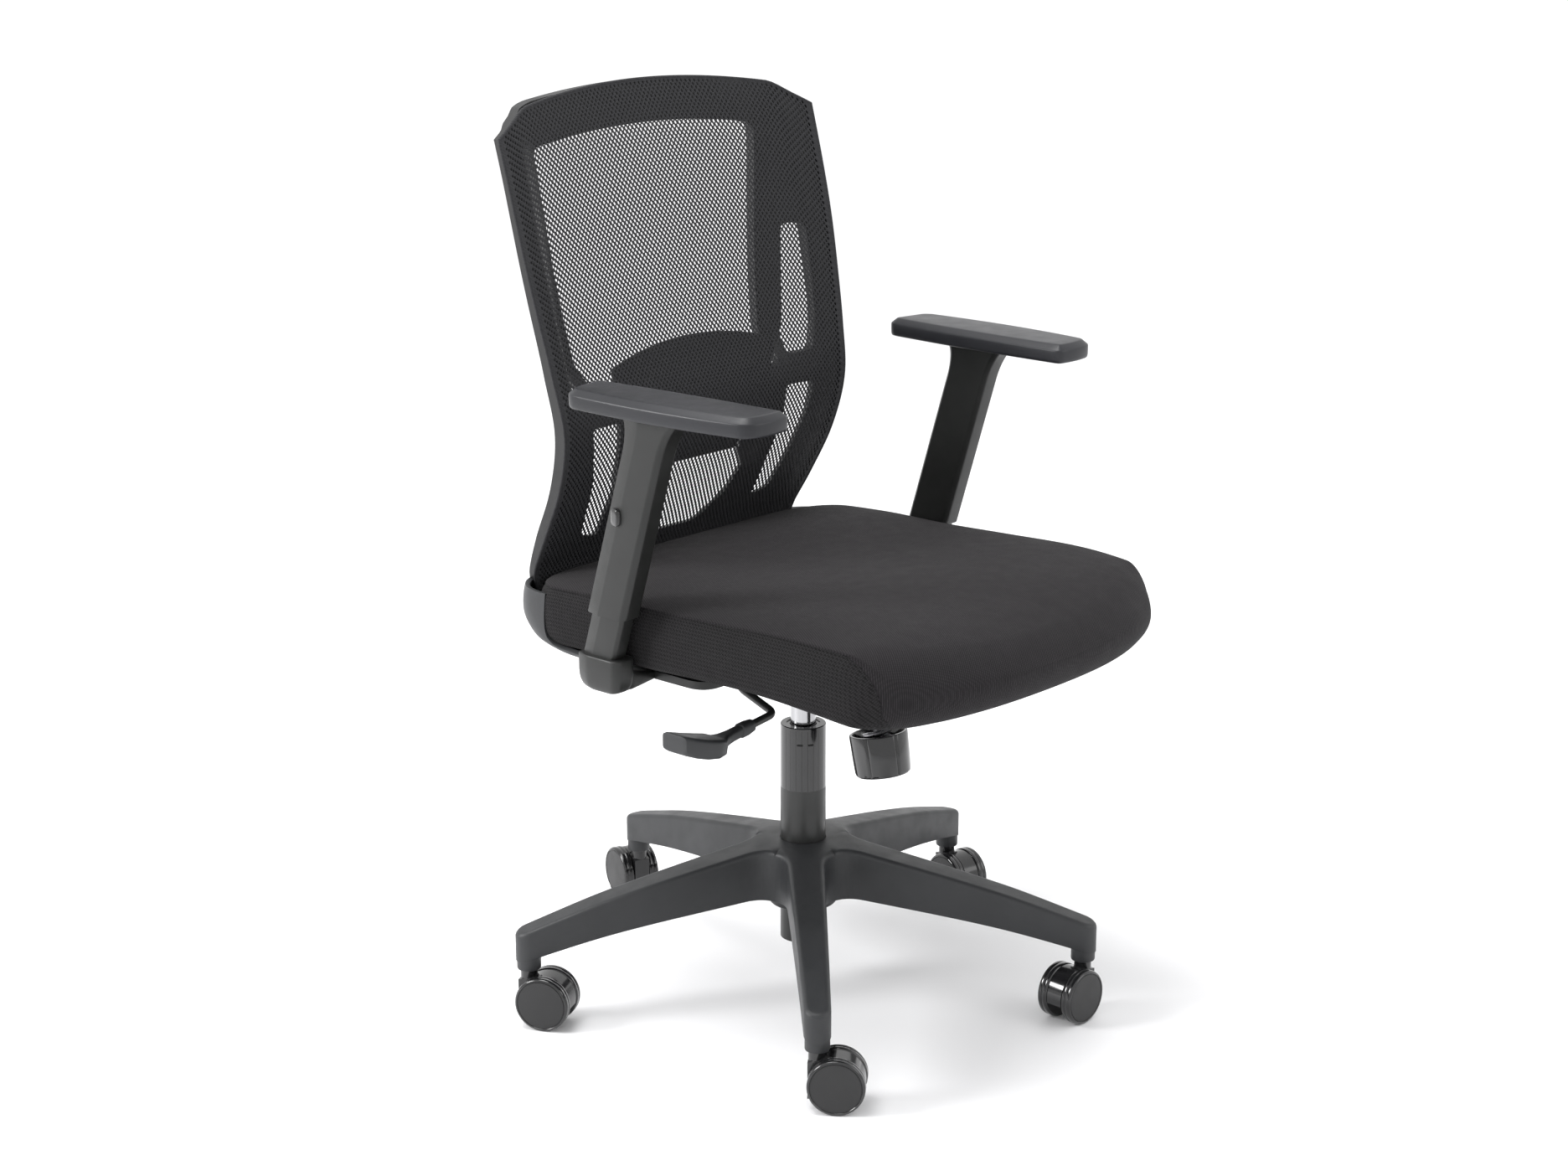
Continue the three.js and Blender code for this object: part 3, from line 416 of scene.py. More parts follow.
def finish_node(name, material, round_edges=0.6):
    """A CAD node keeps its shape and gets rounded edges and a finish."""
    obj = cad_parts[name]
    mesh = obj.data
    custom = mesh.attributes.get("custom_normal")
    if custom:
        mesh.attributes.remove(custom)
    mesh.materials.clear()
    mesh.materials.append(material)
    for polygon in mesh.polygons:
        polygon.use_smooth = True
    weld = obj.modifiers.new("weld", "WELD")
    weld.merge_threshold = 0.01 * MM
    bevelled(obj, round_edges, segments=2, angle=32)


# ---------- floor

def make_floor():
    reach = 6000
    mesh = new_mesh("floor", grid(1, 1, lambda u, v: (lerp(-reach, reach, u), lerp(-reach, reach, v), 0)))
    mesh.materials.append(pale_floor())
    new_object("floor", mesh)


make_floor()

# ---------- back

BACK_BOTTOM = 460
BACK_TOP = 985
TOP_CORNER_X = 187
MESH_THICKNESS = 2.5
FRAME_CLEARANCE = 1.3

mesh_edge_y = through([(BACK_BOTTOM, 199.5), (474, 199), (486, 195), (520, 176), (580, 146), (640, 132),
                       (700, 141), (760, 154), (850, 175), (940, 199), (BACK_TOP, 214)])
back_half_width = through([(BACK_BOTTOM, 204), (486, 209.5), (530, 214.5), (640, 222), (730, 230.5),
                           (850, 239.5), (BACK_TOP, 242)])
mesh_dish = through([(486, 3), (640, 8), (700, 13), (930, 22), (BACK_TOP, 25)])
rim_depth = through([(BACK_BOTTOM, 6), (486, 8), (520, 12), (560, 13), (640, 14), (730, 11), (880, 7),
                     (BACK_TOP, 6)])
bar_thickness = through([(600, 5), (690, 10), (BACK_TOP, 12)])
rail_setback = through([(640, 50), (700, 53), (785, 48), (927, 31), (BACK_TOP, 24)])


def top_edge(x):
    across = abs(x)
    corner = 30
    arch = BACK_TOP - 15 * (across / TOP_CORNER_X) ** 2
    cut_off = BACK_TOP - 15 - (across - TOP_CORNER_X) * 0.5
    return lerp(arch, min(arch, cut_off), smoothstep(across, TOP_CORNER_X - corner, TOP_CORNER_X + corner))


def back_point(u, v, inset, bottom):
    rough = lerp(bottom, BACK_TOP, v)
    x = (u * 2 - 1) * (back_half_width(rough) - inset)
    return x, lerp(bottom, top_edge(x) - inset, v)


def mesh_front_y(x, z):
    return mesh_edge_y(z) + mesh_dish(z) * (1 - (x / back_half_width(z)) ** 2)


def frame_setback(x, z):
    """How far the moulded frame stands back from the mesh's edge line."""
    across = abs(x)
    edge = back_half_width(z) - 16
    upper = rail_setback(z) * (1 - smoothstep(across, 155, edge))
    behind_lumbar = (1 - smoothstep(across, 108, 126)) * smoothstep(z, 548, 574)
    lower = 3 * (1 - smoothstep(across, edge - 30, edge)) + 20 * behind_lumbar
    return MESH_THICKNESS + FRAME_CLEARANCE + lerp(lower, upper, smoothstep(z, 640, 700))


KNIT_COLUMNS = 76
KNIT_ROWS = 145
STRAND_RELIEF = 0.5


def back_mesh():
    """Staggered rows of slanted holes. Each cell is a hexagon of yarn round a six-sided hole."""
    wide, shoulder, tall = 0.17, 0.28, 0.51
    hole = [(-wide, -shoulder), (0, -tall), (wide, -shoulder), (wide, shoulder), (0, tall), (-wide, shoulder)]
    slant = -0.15
    zigzag = 0.17
    lattice = {}
    points, faces = [], []

    def add(column, row, depth):
        x, z = back_point(column / KNIT_COLUMNS, row / KNIT_ROWS, 0, BACK_BOTTOM)
        points.append((x, mesh_front_y(x, z) + depth, z))
        return len(points) - 1

    def corner(column, row):
        """A hexagon's corner, above or below its row's line by turns."""
        key = (column, row)
        if key not in lattice:
            inside = 0 < row < KNIT_ROWS
            crest = (column % 1 == 0.5) == (row % 2 == 1)
            lattice[key] = add(column, row + (zigzag if crest else -zigzag) * inside, 0.2)
        return lattice[key]

    for row in range(KNIT_ROWS):
        start = 0 if row % 2 == 0 else -0.5
        while start < KNIT_COLUMNS:
            left, right = max(start, 0), min(start + 1, KNIT_COLUMNS)
            middle = (left + right) / 2
            if right - left < 1:
                faces.append(tuple(corner(*p) for p in (
                    (left, row), (right, row), (right, row + 1), (left, row + 1))))
            else:
                rim = [corner(*p) for p in (
                    (left, row), (middle, row), (right, row),
                    (right, row + 1), (middle, row + 1), (left, row + 1))]
                if 1 <= row < KNIT_ROWS - 1 and left >= 1 and right <= KNIT_COLUMNS - 1:
                    inner = [add(middle + dx + slant * dz, row + 0.5 + dz, 0.2 + STRAND_RELIEF)
                             for dx, dz in hole]
                    for i in range(6):
                        k = (i + 1) % 6
                        faces.append((rim[i], rim[k], inner[k], inner[i]))
                else:
                    faces.append(tuple(rim))
            start += 1
    return points, faces


fabric_back = piece("back_fabric", "seat", "mesh", back_mesh(), YARN, replaces=("back_mesh",))


def rim_path(inset, push):
    """The back's outline, all the way round, on the mesh's surface pushed back by push."""
    steps = 60
    points = []
    for u, v, du, dv in ((1, 0, 0, 1), (1, 1, -1, 0), (0, 1, 0, -1), (0, 0, 1, 0)):
        for i in range(steps):
            x, z = back_point(u + du * i / steps, v + dv * i / steps, inset, BACK_BOTTOM)
            points.append(Vector((x, mesh_front_y(x, z) + push, z)))
    return points


def closed_tube(path, radius, sides=10):
    """A round bead along a closed path."""
    n = len(path)
    rings = []
    for i, point in enumerate(path):
        ahead = (path[(i + 1) % n] - path[i - 1]).normalized()
        side = Vector((0, 1, 0))
        side = (side - ahead * side.dot(ahead)).normalized()
        other = ahead.cross(side)
        angles = (2 * math.pi * k / sides for k in range(sides))
        rings.append([point + radius * (side * math.cos(a) + other * math.sin(a)) for a in angles])
    return loft(rings + rings[:1], closed=False)


hem = piece("back_hem", "seat", "mesh", closed_tube(rim_path(1.5, 1.6), 1.9), YARN)


def back_frame_board():
    inset = 2
    bottom = BACK_BOTTOM + 1

    def front(u, v):
        x, z = back_point(u, v, inset, bottom)
        dish = mesh_front_y(x, z) - mesh_edge_y(z) + MESH_THICKNESS + FRAME_CLEARANCE
        return x, mesh_edge_y(z) + max(frame_setback(x, z), dish), z

    def back(u, v):
        x, y, z = front(u, v)
        half = back_half_width(z)
        rim = smoothstep(abs(x), half - 30, half - 14)
        return x, y + lerp(bar_thickness(z), rim_depth(z), rim), z

    columns, rows = 90, 80
    near, faces = grid(columns, rows, front)
    far, _ = grid(columns, rows, back)
    n = len(near)
    faces += [tuple(n + i for i in reversed(face)) for face in faces]
    width = columns + 1
    edge = list(range(columns))
    edge += [j * width + columns for j in range(rows)]
    edge += [rows * width + columns - i for i in range(columns)]
    edge += [(rows - j) * width for j in range(rows)]
    for a, b in zip(edge, edge[1:] + edge[:1]):
        faces.append((b, a, n + a, n + b))
    return near + far, faces


def curve_through_corner(start, corner, end, steps):
    """A short quadratic curve from start to end that bends at the corner."""
    shares = (k / steps for k in range(steps + 1))
    return [start * (1 - t) ** 2 + corner * 2 * t * (1 - t) + end * t * t for t in shares]


def rounded_polygon(corners, radius, steps=5):
    """The corners of a plan outline, each turned into a short curve."""
    outline = []
    count = len(corners)
    for i, corner in enumerate(corners):
        here = Vector(corner)
        before, after = Vector(corners[i - 1]), Vector(corners[(i + 1) % count])
        start = here + (before - here).normalized() * min(radius, (before - here).length * 0.45)
        end = here + (after - here).normalized() * min(radius, (after - here).length * 0.45)
        outline += curve_through_corner(start, here, end, steps)
    return outline


def window(corners, radius):
    """A cutter through the back in front view."""
    outline = rounded_polygon(corners, radius)
    return loft([[(p.x, y, p.y) for p in outline] for y in (60, 360)])


def frame_windows():
    top_arch = [(171 - 342 * i / 10, 924 + 14 * (1 - (1 - i / 5) ** 2)) for i in range(1, 10)]
    main = [(-141, 662), (141, 662), (156, 785), (171, 924), *top_arch, (-171, 924), (-156, 785)]
    lower = [(-100, 640), (-92, 580), (-74, 522), (-40, 492), (40, 492), (74, 522), (92, 580), (100, 640)]
    cutters = [window(main, 12), window(lower, 12)]
    for side in (-1, 1):
        upper_slot = [(160, 668), (188, 672), (196, 700), (200, 740), (204, 812), (184, 812), (177, 740),
                      (173, 700)]
        lower_slot = [(132, 640), (176, 640), (171, 607), (163, 578), (157, 540), (150, 512), (124, 507),
                      (124, 560), (131, 604)]
        for slot in (upper_slot, lower_slot):
            cutters.append(window([(x * side, z) for x, z in slot], 7))
    return cutters


def cut_away(obj, part):
    """Takes a closed part out of an object's mesh for good."""
    mesh = new_mesh("cutter", part)
    shape = bmesh.new()
    shape.from_mesh(mesh)
    bmesh.ops.recalc_face_normals(shape, faces=shape.faces)
    shape.to_mesh(mesh)
    shape.free()
    cutter = new_object("cutter", mesh)
    boolean = obj.modifiers.new("cut", "BOOLEAN")
    boolean.operation = "DIFFERENCE"
    boolean.solver = "EXACT"
    boolean.object = cutter
    baked = bpy.data.meshes.new_from_object(obj.evaluated_get(bpy.context.evaluated_depsgraph_get()))
    obj.modifiers.remove(boolean)
    obj.data = baked
    bpy.data.objects.remove(cutter)


def make_back_frame():
    # The frame gets the darkened plastic with painted shade
    obj = piece("back_frame_moulding", "seat", "nylon", back_frame_board(), SHADOW_PLASTIC,
                replaces=("back_frame",))
    cut_away(obj, together(*frame_windows()))
    obj.data.set_sharp_from_angle(angle=math.radians(40))


make_back_frame()


LUMBAR_CLEARANCE = 5


def lumbar_pad():
    half, thickness = 110, 6

    def front(u, v):
        x = (u * 2 - 1) * (half * lerp(0.62, 1, smoothstep(v, 0, 0.55)) + 17 * smoothstep(v, 0.6, 0.92))
        z = lerp(577, 699 + 14 * (1 - (x / half) ** 2), v)
        return x, mesh_front_y(x, z) + MESH_THICKNESS + LUMBAR_CLEARANCE + thickness / 2, z

    return grid(44, 32, front)


# The lumbar plate also gets the darkened plastic with painted shade
lumbar = piece("lumbar_plate", "lumbar", "nylon", lumbar_pad(), SHADOW_PLASTIC, replaces=("lumbar_pad",))
bevelled(thickened(lumbar, 6, offset=0), 2.2)

# ---------- shell between seat and back

SHELL_HALF = 241
SHELL_CORNER = 55
SHELL_TOP = 473
shell_rear = through([(403, 120), (408, 156), (414, 178), (422, 198), (440, 214), (462, 216), (488, 209)])
shell_half = through([(403, 214), (412, 236), (430, SHELL_HALF), (488, SHELL_HALF - 2)])
shell_front = through([(403, 84), (414, 84), (416, 110), (418, 134), (424, 146), (436, 151),
                       (466, 151), (486, 149)])


def back_shell():
    """The wrap-round wall, from its front edge round the rear corner and across."""
    levels = 34
    along_side, along_corner, along_rear = 10, 14, 12
    rings = []
    for j in range(levels + 1):
        z = 403 + (SHELL_TOP - 403) * (j / levels) ** 1.4
        half, rear, start = shell_half(z), shell_rear(z), shell_front(z)
        start = min(start, rear - SHELL_CORNER - 0.5)
        quarter = []
        for i in range(along_side):
            quarter.append((half, lerp(start, rear - SHELL_CORNER, i / along_side), z))
        for i in range(along_corner):
            a = (i / along_corner) * math.pi / 2
            quarter.append((half - SHELL_CORNER + SHELL_CORNER * math.cos(a),
                            rear - SHELL_CORNER + SHELL_CORNER * math.sin(a), z))
        for i in range(along_rear):
            quarter.append((lerp(half - SHELL_CORNER, 0, i / along_rear), rear, z))
        other = [(-x, y, zz) for x, y, zz in reversed(quarter)]
        rings.append([*quarter, (0, rear, z), *other])
    width = len(rings[0])
    points = [p for ring in rings for p in ring]
    faces = []
    for j in range(levels):
        for i in range(width - 1):
            a = j * width + i
            faces.append((a, a + 1, a + 1 + width, a + width))
    return points, faces


shell = piece("back_shell", "seat", "nylon", back_shell(), NYLON, replaces=("back_bracket",))
bevelled(thickened(shell, 5, offset=-1), 1.2)

# ---------- seat

SEAT_HALF = 242
SEAT_FRONT = -354
SEAT_REAR = 195
seat_underside = through([(SEAT_FRONT, 421), (-342, 416), (-325, 412), (-305, 409), (-290, 408.5),
                          (-262, 413), (-200, 420), (-120, 423), (15, 419), (90, 420), (150, 421),
                          (SEAT_REAR, 438)])
seat_edge_top = through([(SEAT_FRONT, 452), (-345, 465), (-322, 475), (-290, 483), (-262, 487),
                         (-185, 490), (-90, 487), (0, 484), (76, 484), (SEAT_REAR, 478)])
seat_half_width = through([(SEAT_FRONT, 0), (-353, 40), (-348, 90), (-338, 136), (-325, 173),
                           (-307, 210), (-280, 231), (-230, 240), (-170, SEAT_HALF), (120, SEAT_HALF),
                           (146, 241), (158, 237), (170, 228), (181, 212), (189, 188), (193, 150),
                           (SEAT_REAR, 0)])


SEAM_END = -293                # the side panel's front seam runs down here
SEAM_ROUND = 44                # and turns from level to upright on this radius
SEAM_RADIUS = 0.8
SEAM_DROP = 1.6                # how far the seam lies below the edge of the crown
FRONT_BEND = 34                # the outline's close points reach this far back from the front
REAR_BEND = 44                 # and this far forward from the rear
CROWN = 7
NOSE_LOW = 30
NOSE_HIGH = 34
PANEL_STEPS = 24
TOP_INSETS = (7, 11, 16, 23, 32, 44, 60, 80, 105, 135, 168, 200, 225, 241.9)


def seat_loop():
    """Plan outline with close points where it bends. Each is (half-width, y)."""
    ys = [SEAT_FRONT + FRONT_BEND * (i / 16) ** 2 for i in range(1, 17)]
    ys += [lerp(-318, -262, i / 26) for i in range(27)]
    ys += [lerp(-256, 100, i / 30) for i in range(31)]
    ys += [lerp(100, 151, i / 9) for i in range(1, 10)]
    ys += [SEAT_REAR - REAR_BEND * ((16 - i) / 16) ** 2 for i in range(1, 16)]
    return [(seat_half_width(y), y) for y in ys]


SEAT_LOOP = seat_loop()
SEAT_MIDDLE = (SEAT_FRONT + SEAT_REAR) / 2


def seat_place(x, y, profile):
    """The point of the outline moved in and up as the profile says. profile gives (inset, height)."""
    inset = profile(y, y)[0]
    pulled = SEAT_MIDDLE + (y - SEAT_MIDDLE) * (1 - inset / (SEAT_REAR - SEAT_MIDDLE))
    return x * (1 - inset / SEAT_HALF), pulled, profile(y, pulled)[1]


def seat_ring(profile):
    ends = [(0, SEAT_FRONT), *SEAT_LOOP, (0, SEAT_REAR)]
    left = [(-x, y) for x, y in reversed(ends[1:-1])]
    return [seat_place(x, y, profile) for x, y in [*ends, *left]]


def nose_share(edge_y):
    """1 at the rounded nose, which the top panel wraps over, and 0 along the side panels."""
    return 1 - smoothstep(edge_y, -318, -262)


def nose(angle, y):
    """The bullnose: a tight curve underneath and a wide one over the top. 0 degrees is foremost."""
    a = math.radians(angle)
    low = seat_underside(y)
    waist = low + NOSE_LOW
    if angle < 0:
        return NOSE_LOW * (1 - math.cos(a)), waist + NOSE_LOW * math.sin(a)
    return NOSE_HIGH * (1 - math.cos(a)), waist + (seat_edge_top(y) + CROWN * 0.7 - waist) * math.sin(a)


def panel_profile(t):
    """Up the side panel, t from 0 at its bottom edge to 1 at the seam."""
    def profile(edge_y, y):
        bow = abs(2 * t - 1)
        side_height = lerp(seat_underside(y) + 1.5, seat_edge_top(y) - SEAM_DROP, t)
        inset, height = nose(lerp(-80, 24, t), y)
        share = nose_share(edge_y)
        return lerp(4.4 * bow ** 5 + 0.8 * bow, inset, share), lerp(side_height, height, share)

    return profile


def top_profile(inset, angle):
    """In across the top from the seam."""
    rise = CROWN * (1 - math.exp(-(inset - 4) / 26))

    def profile(edge_y, y):
        share = nose_share(edge_y)
        nose_inset, nose_height = nose(angle, y)
        crowned = seat_edge_top(y) + rise
        if angle == 90:
            return lerp(inset, max(inset, nose_inset + 2), share), crowned
        return lerp(inset, nose_inset, share), lerp(crowned, nose_height, share)

    return profile


def underside_profile(inset, lift):
    """Under the seat. At the nose the bullnose's curve has come in 25 mm before it meets this."""
    def profile(edge_y, y):
        return lerp(inset, max(inset, 27 + inset / 10), nose_share(edge_y)), seat_underside(y) + lift

    return profile


def seat_shape():
    """Rings from the underside's middle, out round the side, over the seam and in across the top."""
    rings = [seat_ring(underside_profile(inset, 0)) for inset in (200, 120, 60, 26, 15)]
    rings.append(seat_ring(underside_profile(10, 0.2)))
    rings += [seat_ring(panel_profile(k / PANEL_STEPS)) for k in range(PANEL_STEPS + 1)]
    rings.append(seat_ring(top_profile(4.4, 28)))
    for k, inset in enumerate(TOP_INSETS):
        rings.append(seat_ring(top_profile(inset, min(90, 34 + 10 * k))))
    return loft(rings)


def seam_height(y):
    """The top edge of the side panel, which rounds down to upright at its front."""
    run = clamp(SEAM_END + SEAM_ROUND - y, 0, SEAM_ROUND)
    return seat_edge_top(y) - SEAM_DROP - SEAM_ROUND + math.sqrt(SEAM_ROUND ** 2 - run ** 2)


def side_or_top(middle):
    """1 on the side panels and the underside, 0 on the top panel, which wraps over the nose."""
    underside = middle.z < seat_underside(middle.y) + 1.2
    panel = middle.y > SEAM_END and middle.z < seam_height(middle.y)
    return 1 if underside or panel else 0


def on_panel(y, height):
    """The point of the side panel's skin at this place along the outline and this height."""
    low, high = 0.0, 1.0
    for _ in range(24):
        t = (low + high) / 2
        if seat_place(seat_half_width(y), y, panel_profile(t))[2] < height:
            low = t
        else:
            high = t
    return seat_place(seat_half_width(y), y, panel_profile(low))


def seam_path():
    """Along the side from the rear corner, round and down to the underside."""
    path = []
    for i in range(61):
        y = lerp(182, SEAM_END + SEAM_ROUND, i / 60)
        path.append(on_panel(y, seat_edge_top(y)))
    for k in range(1, 19):
        y = SEAM_END + SEAM_ROUND * (1 - math.sin(math.radians(5 * k)))
        path.append(on_panel(y, seam_height(y)))
    low, high = seat_underside(SEAM_END) + 2, seam_height(SEAM_END)
    path += [on_panel(SEAM_END, lerp(high, low, i / 14)) for i in range(1, 15)]
    return path


cushion = piece("seat_pad", "seat", "fabric", seat_shape(), FABRIC_TOP, FABRIC_SIDE,
                replaces=("seat_cushion",), paint=side_or_top)
seam = tube(seam_path(), SEAM_RADIUS, 8)
piece("seat_seam_left", "seat", "fabric", seam, FABRIC_SIDE)
piece("seat_seam_right", "seat", "fabric", mirrored(seam), FABRIC_SIDE)

# ---------- arms

ARM_X = 260
ARM_LEAN = 0.304
ARM_FOOT_Y = 42
BOOT_TOP = 440
SLEEVE_BOTTOM = 478
SLEEVE_TOP = 691.1
PAD_BOTTOM = 691.5
PAD_TOP = 712
FLARE_START = 652


def arm_y(z):
    return ARM_FOOT_Y - ARM_LEAN * (z - BOOT_TOP)


def arm_section(half_x, half_y, bevel_x, bevel_y, corner, rounding):
    """Section across the arm: flat outer face and a bevel on its rear outer edge. Outer is -X."""
    corners = [
        (-half_x, -half_y + corner), (-half_x + corner, -half_y), (half_x - corner, -half_y),
        (half_x, -half_y + corner), (half_x, half_y - corner), (half_x - corner, half_y),
        (-half_x + bevel_x, half_y), (-half_x, half_y - bevel_y),
    ]
    return rounded_polygon(corners, rounding, 3)


def arm_column(section, levels):
    rings = []
    for z, stretch in levels:
        rings.append([(p.x - ARM_X, p.y * stretch + arm_y(z), z) for p in section])
    return loft(rings)


def arm_sleeve():
    section = arm_section(14, 28, 6, 20, 5, 1.6)
    flare = []
    for k in range(15):
        t = k / 14
        flare.append((lerp(FLARE_START, SLEEVE_TOP, t), 1 + 0.62 * (1 - math.sqrt(1 - (0.99 * t) ** 2))))
    levels = [(SLEEVE_BOTTOM, 0.975), (SLEEVE_BOTTOM + 1.2, 1)]
    levels += [(lerp(SLEEVE_BOTTOM + 6, FLARE_START - 6, k / 8), 1) for k in range(9)]
    return arm_column(section, [*levels, *flare])


def rounded_box_ring(x, y0, y1, z0, z1, corner):
    """A ring across X with rounded corners."""
    outline = rounded_polygon([(y0, z0), (y1, z0), (y1, z1), (y0, z1)], corner, 4)
    return [(x, p.x, p.y) for p in outline]


def arm_bracket():
    """A bowl that holds the post, an arm that runs in under the seat, and its foot plate."""
    section = arm_section(15, 31, 6, 18, 6, 4)
    bowl = []
    for z, size in ((396, 0.55), (396.3, 0.66), (397.6, 0.77), (400, 0.86), (404, 0.935), (409, 0.98),
                    (415, 1), (431.2, 1), (432.5, 0.985), (433, 0.955)):
        bowl.append([(p.x * size - ARM_X, p.y * size + ARM_FOOT_Y, z) for p in section])
    reach = [rounded_box_ring(*ring) for ring in (
        (-262, 14, 72, 397, 430, 8), (-249, 15, 71, 397, 429, 8), (-246, 15, 71, 397, 422, 7),
        (-242, 16, 70, 397.2, 417.5, 6), (-232, 18, 68, 397.4, 414, 5), (-218, 21, 66, 397.7, 409.5, 4),
        (-204, 24, 64, 398, 407, 3), (-170, 24, 64, 398, 406.5, 3))]
    foot = rounded_polygon([(-206, -46), (-140, -46), (-140, 64), (-206, 64)], 24, 8)
    plate = loft([[(p.x, p.y, z) for p in foot] for z in (398, 406.5)])
    return together(loft(bowl), loft(reach), plate)


def quadratic(start, control, end, steps):
    points = []
    for k in range(1, steps + 1):
        t = k / steps
        points.append(tuple(a * (1 - t) ** 2 + b * 2 * t * (1 - t) + c * t * t
                            for a, b, c in zip(start, control, end)))
    return points


def pad_outline():
    """Plan of the right armrest: nearly straight inside, bowed outside."""
    curves = [((-246, -178), (-266, -174), 8), ((-277, -171), (-280, -160), 7),
              ((-297, -60), (-289, 52), 26), ((-286, 65), (-275, 69), 7), ((-258, 72), (-242, 75), 5),
              ((-231, 76), (-228, 64), 7), ((-217, -50), (-218, -166), 26), ((-219, -173), (-226, -174), 6)]
    outline = [(-226.0, -174.0)]
    for control, end, steps in curves:
        outline += quadratic(outline[-1], control, end, steps)
    return outline[:-1]


def inset_outline(outline, inset):
    """The outline moved inward along its own normals."""
    moved_in = []
    count = len(outline)
    for i, (x, y) in enumerate(outline):
        (x0, y0), (x1, y1) = outline[i - 1], outline[(i + 1) % count]
        along = Vector((x1 - x0, y1 - y0)).normalized()
        moved_in.append((x + along.y * inset, y - along.x * inset))
    return moved_in


def arm_pad():
    outline = pad_outline()
    profile = [(9, PAD_BOTTOM), (3.0, PAD_BOTTOM), (1.4, PAD_BOTTOM + 0.5), (0.5, PAD_BOTTOM + 1.6),
               (0.1, PAD_BOTTOM + 4), (0, PAD_BOTTOM + 8), (0, PAD_TOP - 7.4), (0.25, PAD_TOP - 6.4),
               (0.9, PAD_TOP - 5.6), (6.4, PAD_TOP - 1.2), (7.2, PAD_TOP - 0.7), (8.2, PAD_TOP - 0.45)]
    rings = []
    for inset, z in profile:
        rings.append([(x, y, z) for x, y in inset_outline(outline, inset)])
    spine_x, ends = -255, (-140, 40)
    rim = rings[-1]
    for share in (0.15, 0.35, 0.6, 0.85):
        rings.append([(lerp(x, spine_x, share), lerp(y, clamp(y, *ends), share),
                       lerp(PAD_TOP - 0.45, PAD_TOP, min(1, share * 2))) for x, y, _ in rim])
    return loft(rings)


BUTTON_Z = 586
BUTTON_TURN = math.atan2(6, 20)


def rounder(value, power=0.55):
    """Squares off a sine or cosine, for a rounded-rectangle outline."""
    return math.copysign(abs(value) ** power, value)


def arm_button():
    """An oval button on the rear bevel, domed, along the bevel's normal."""
    rings = []
    for out, size in ((-0.6, 1), (3.0, 1), (3.8, 0.95), (4.2, 0.86), (4.3, 0.5)):
        rings.append([(-out, 6.6 * size * rounder(math.cos(a)), 9.1 * size * rounder(math.sin(a)))
                      for a in (2 * math.pi * k / 40 for k in range(40))])
    place = Matrix.Translation((-ARM_X - 12.6, arm_y(BUTTON_Z) + 11.5, BUTTON_Z))
    return moved(loft(rings), place @ Matrix.Rotation(-BUTTON_TURN, 4, "Z"))


def arm_post():
    section = arm_section(10, 23.8, 5, 17, 3, 1.2)
    return arm_column(section, [(428, 1), (500, 1), (560, 1), (612, 1)])


ARM_PIECES = [
    ("bracket_skin", arm_bracket, "seat", "nylon", ARM_PLASTIC, "arm_bracket", 40),
    ("post_skin", arm_post, "seat", "nylon", ARM_PLASTIC, "arm_post", 24),
    ("sleeve_skin", arm_sleeve, "arm", "nylon", ARM_PLASTIC, "arm_sleeve", 24),
    ("button_cap", arm_button, "button", "gloss_plastic", GLOSS, "arm_button", 40),
    ("pad_top", arm_pad, "arm", "satin_plastic", PAD_SKIN, "arm_pad", 40),
]


def make_arms():
    for side in ("right", "left"):
        for name, make, body, slot, material, node, sharp in ARM_PIECES:
            part = make() if side == "right" else mirrored(make())
            rides = "seat" if body == "seat" else f"{body}_{side}"
            piece(f"{name}_{side}", rides, slot, part, material, replaces=(f"{node}_{side}",), sharp=sharp)


make_arms()

# ---------- base

LEGS = 5
FIRST_LEG = math.radians(-136.2)
STEM_CIRCLE = 315
TIP_R = 14
HUB_R = 37
LEG_ROOT_HALF = 20.5
LEG_FILLET = 30
LEG_SKIN = 4
EDGE_ROUND = 5
SHARE = math.pi / LEGS
FILLET_FAR = (LEG_ROOT_HALF + LEG_FILLET) / math.sin(SHARE)
FILLET_X = FILLET_FAR * math.cos(SHARE)
FILLET_Y = FILLET_FAR * math.sin(SHARE)
CROTCH_X = (FILLET_FAR - LEG_FILLET) * math.cos(SHARE)
COLLAR_R = 25.4

leg_top = through([(0, 173), (46, 171.5), (93, 163), (225, 134.5), (306, 112), (345, 100)])
leg_bottom = through([(0, 109), (56, 113), (93, 110), (219, 95), (303, 79.5), (345, 69)])


def leg_half(x):
    return lerp(LEG_ROOT_HALF, TIP_R, clamp((x - 50) / (STEM_CIRCLE - 50), 0, 1))


def edge_distance(x, y):
    """How far a point of one leg's plan is from the star's outline."""
    if x < FILLET_X:
        return math.hypot(x - FILLET_X, abs(y) - FILLET_Y) - LEG_FILLET
    if x > STEM_CIRCLE:
        return TIP_R - math.hypot(x - STEM_CIRCLE, y)
    return leg_half(x) - abs(y)


def half_at(x):
    """Half the leg's width in plan, at x along it."""
    if x < FILLET_X:
        return FILLET_Y - math.sqrt(max(LEG_FILLET ** 2 - (x - FILLET_X) ** 2, 0))
    if x > STEM_CIRCLE:
        return math.sqrt(max(TIP_R ** 2 - (x - STEM_CIRCLE) ** 2, 0))
    return leg_half(x)


def leg_plan(x, across):
    """Plan point for x along the leg and across from -1 to 1, fanned out inside the hub."""
    if x >= CROTCH_X:
        return x, half_at(x) * across
    angle = SHARE * across
    share = (x - COLLAR_R) / (CROTCH_X - COLLAR_R)
    radius = lerp(COLLAR_R, CROTCH_X / math.cos(angle), share)
    return radius * math.cos(angle), radius * math.sin(angle)


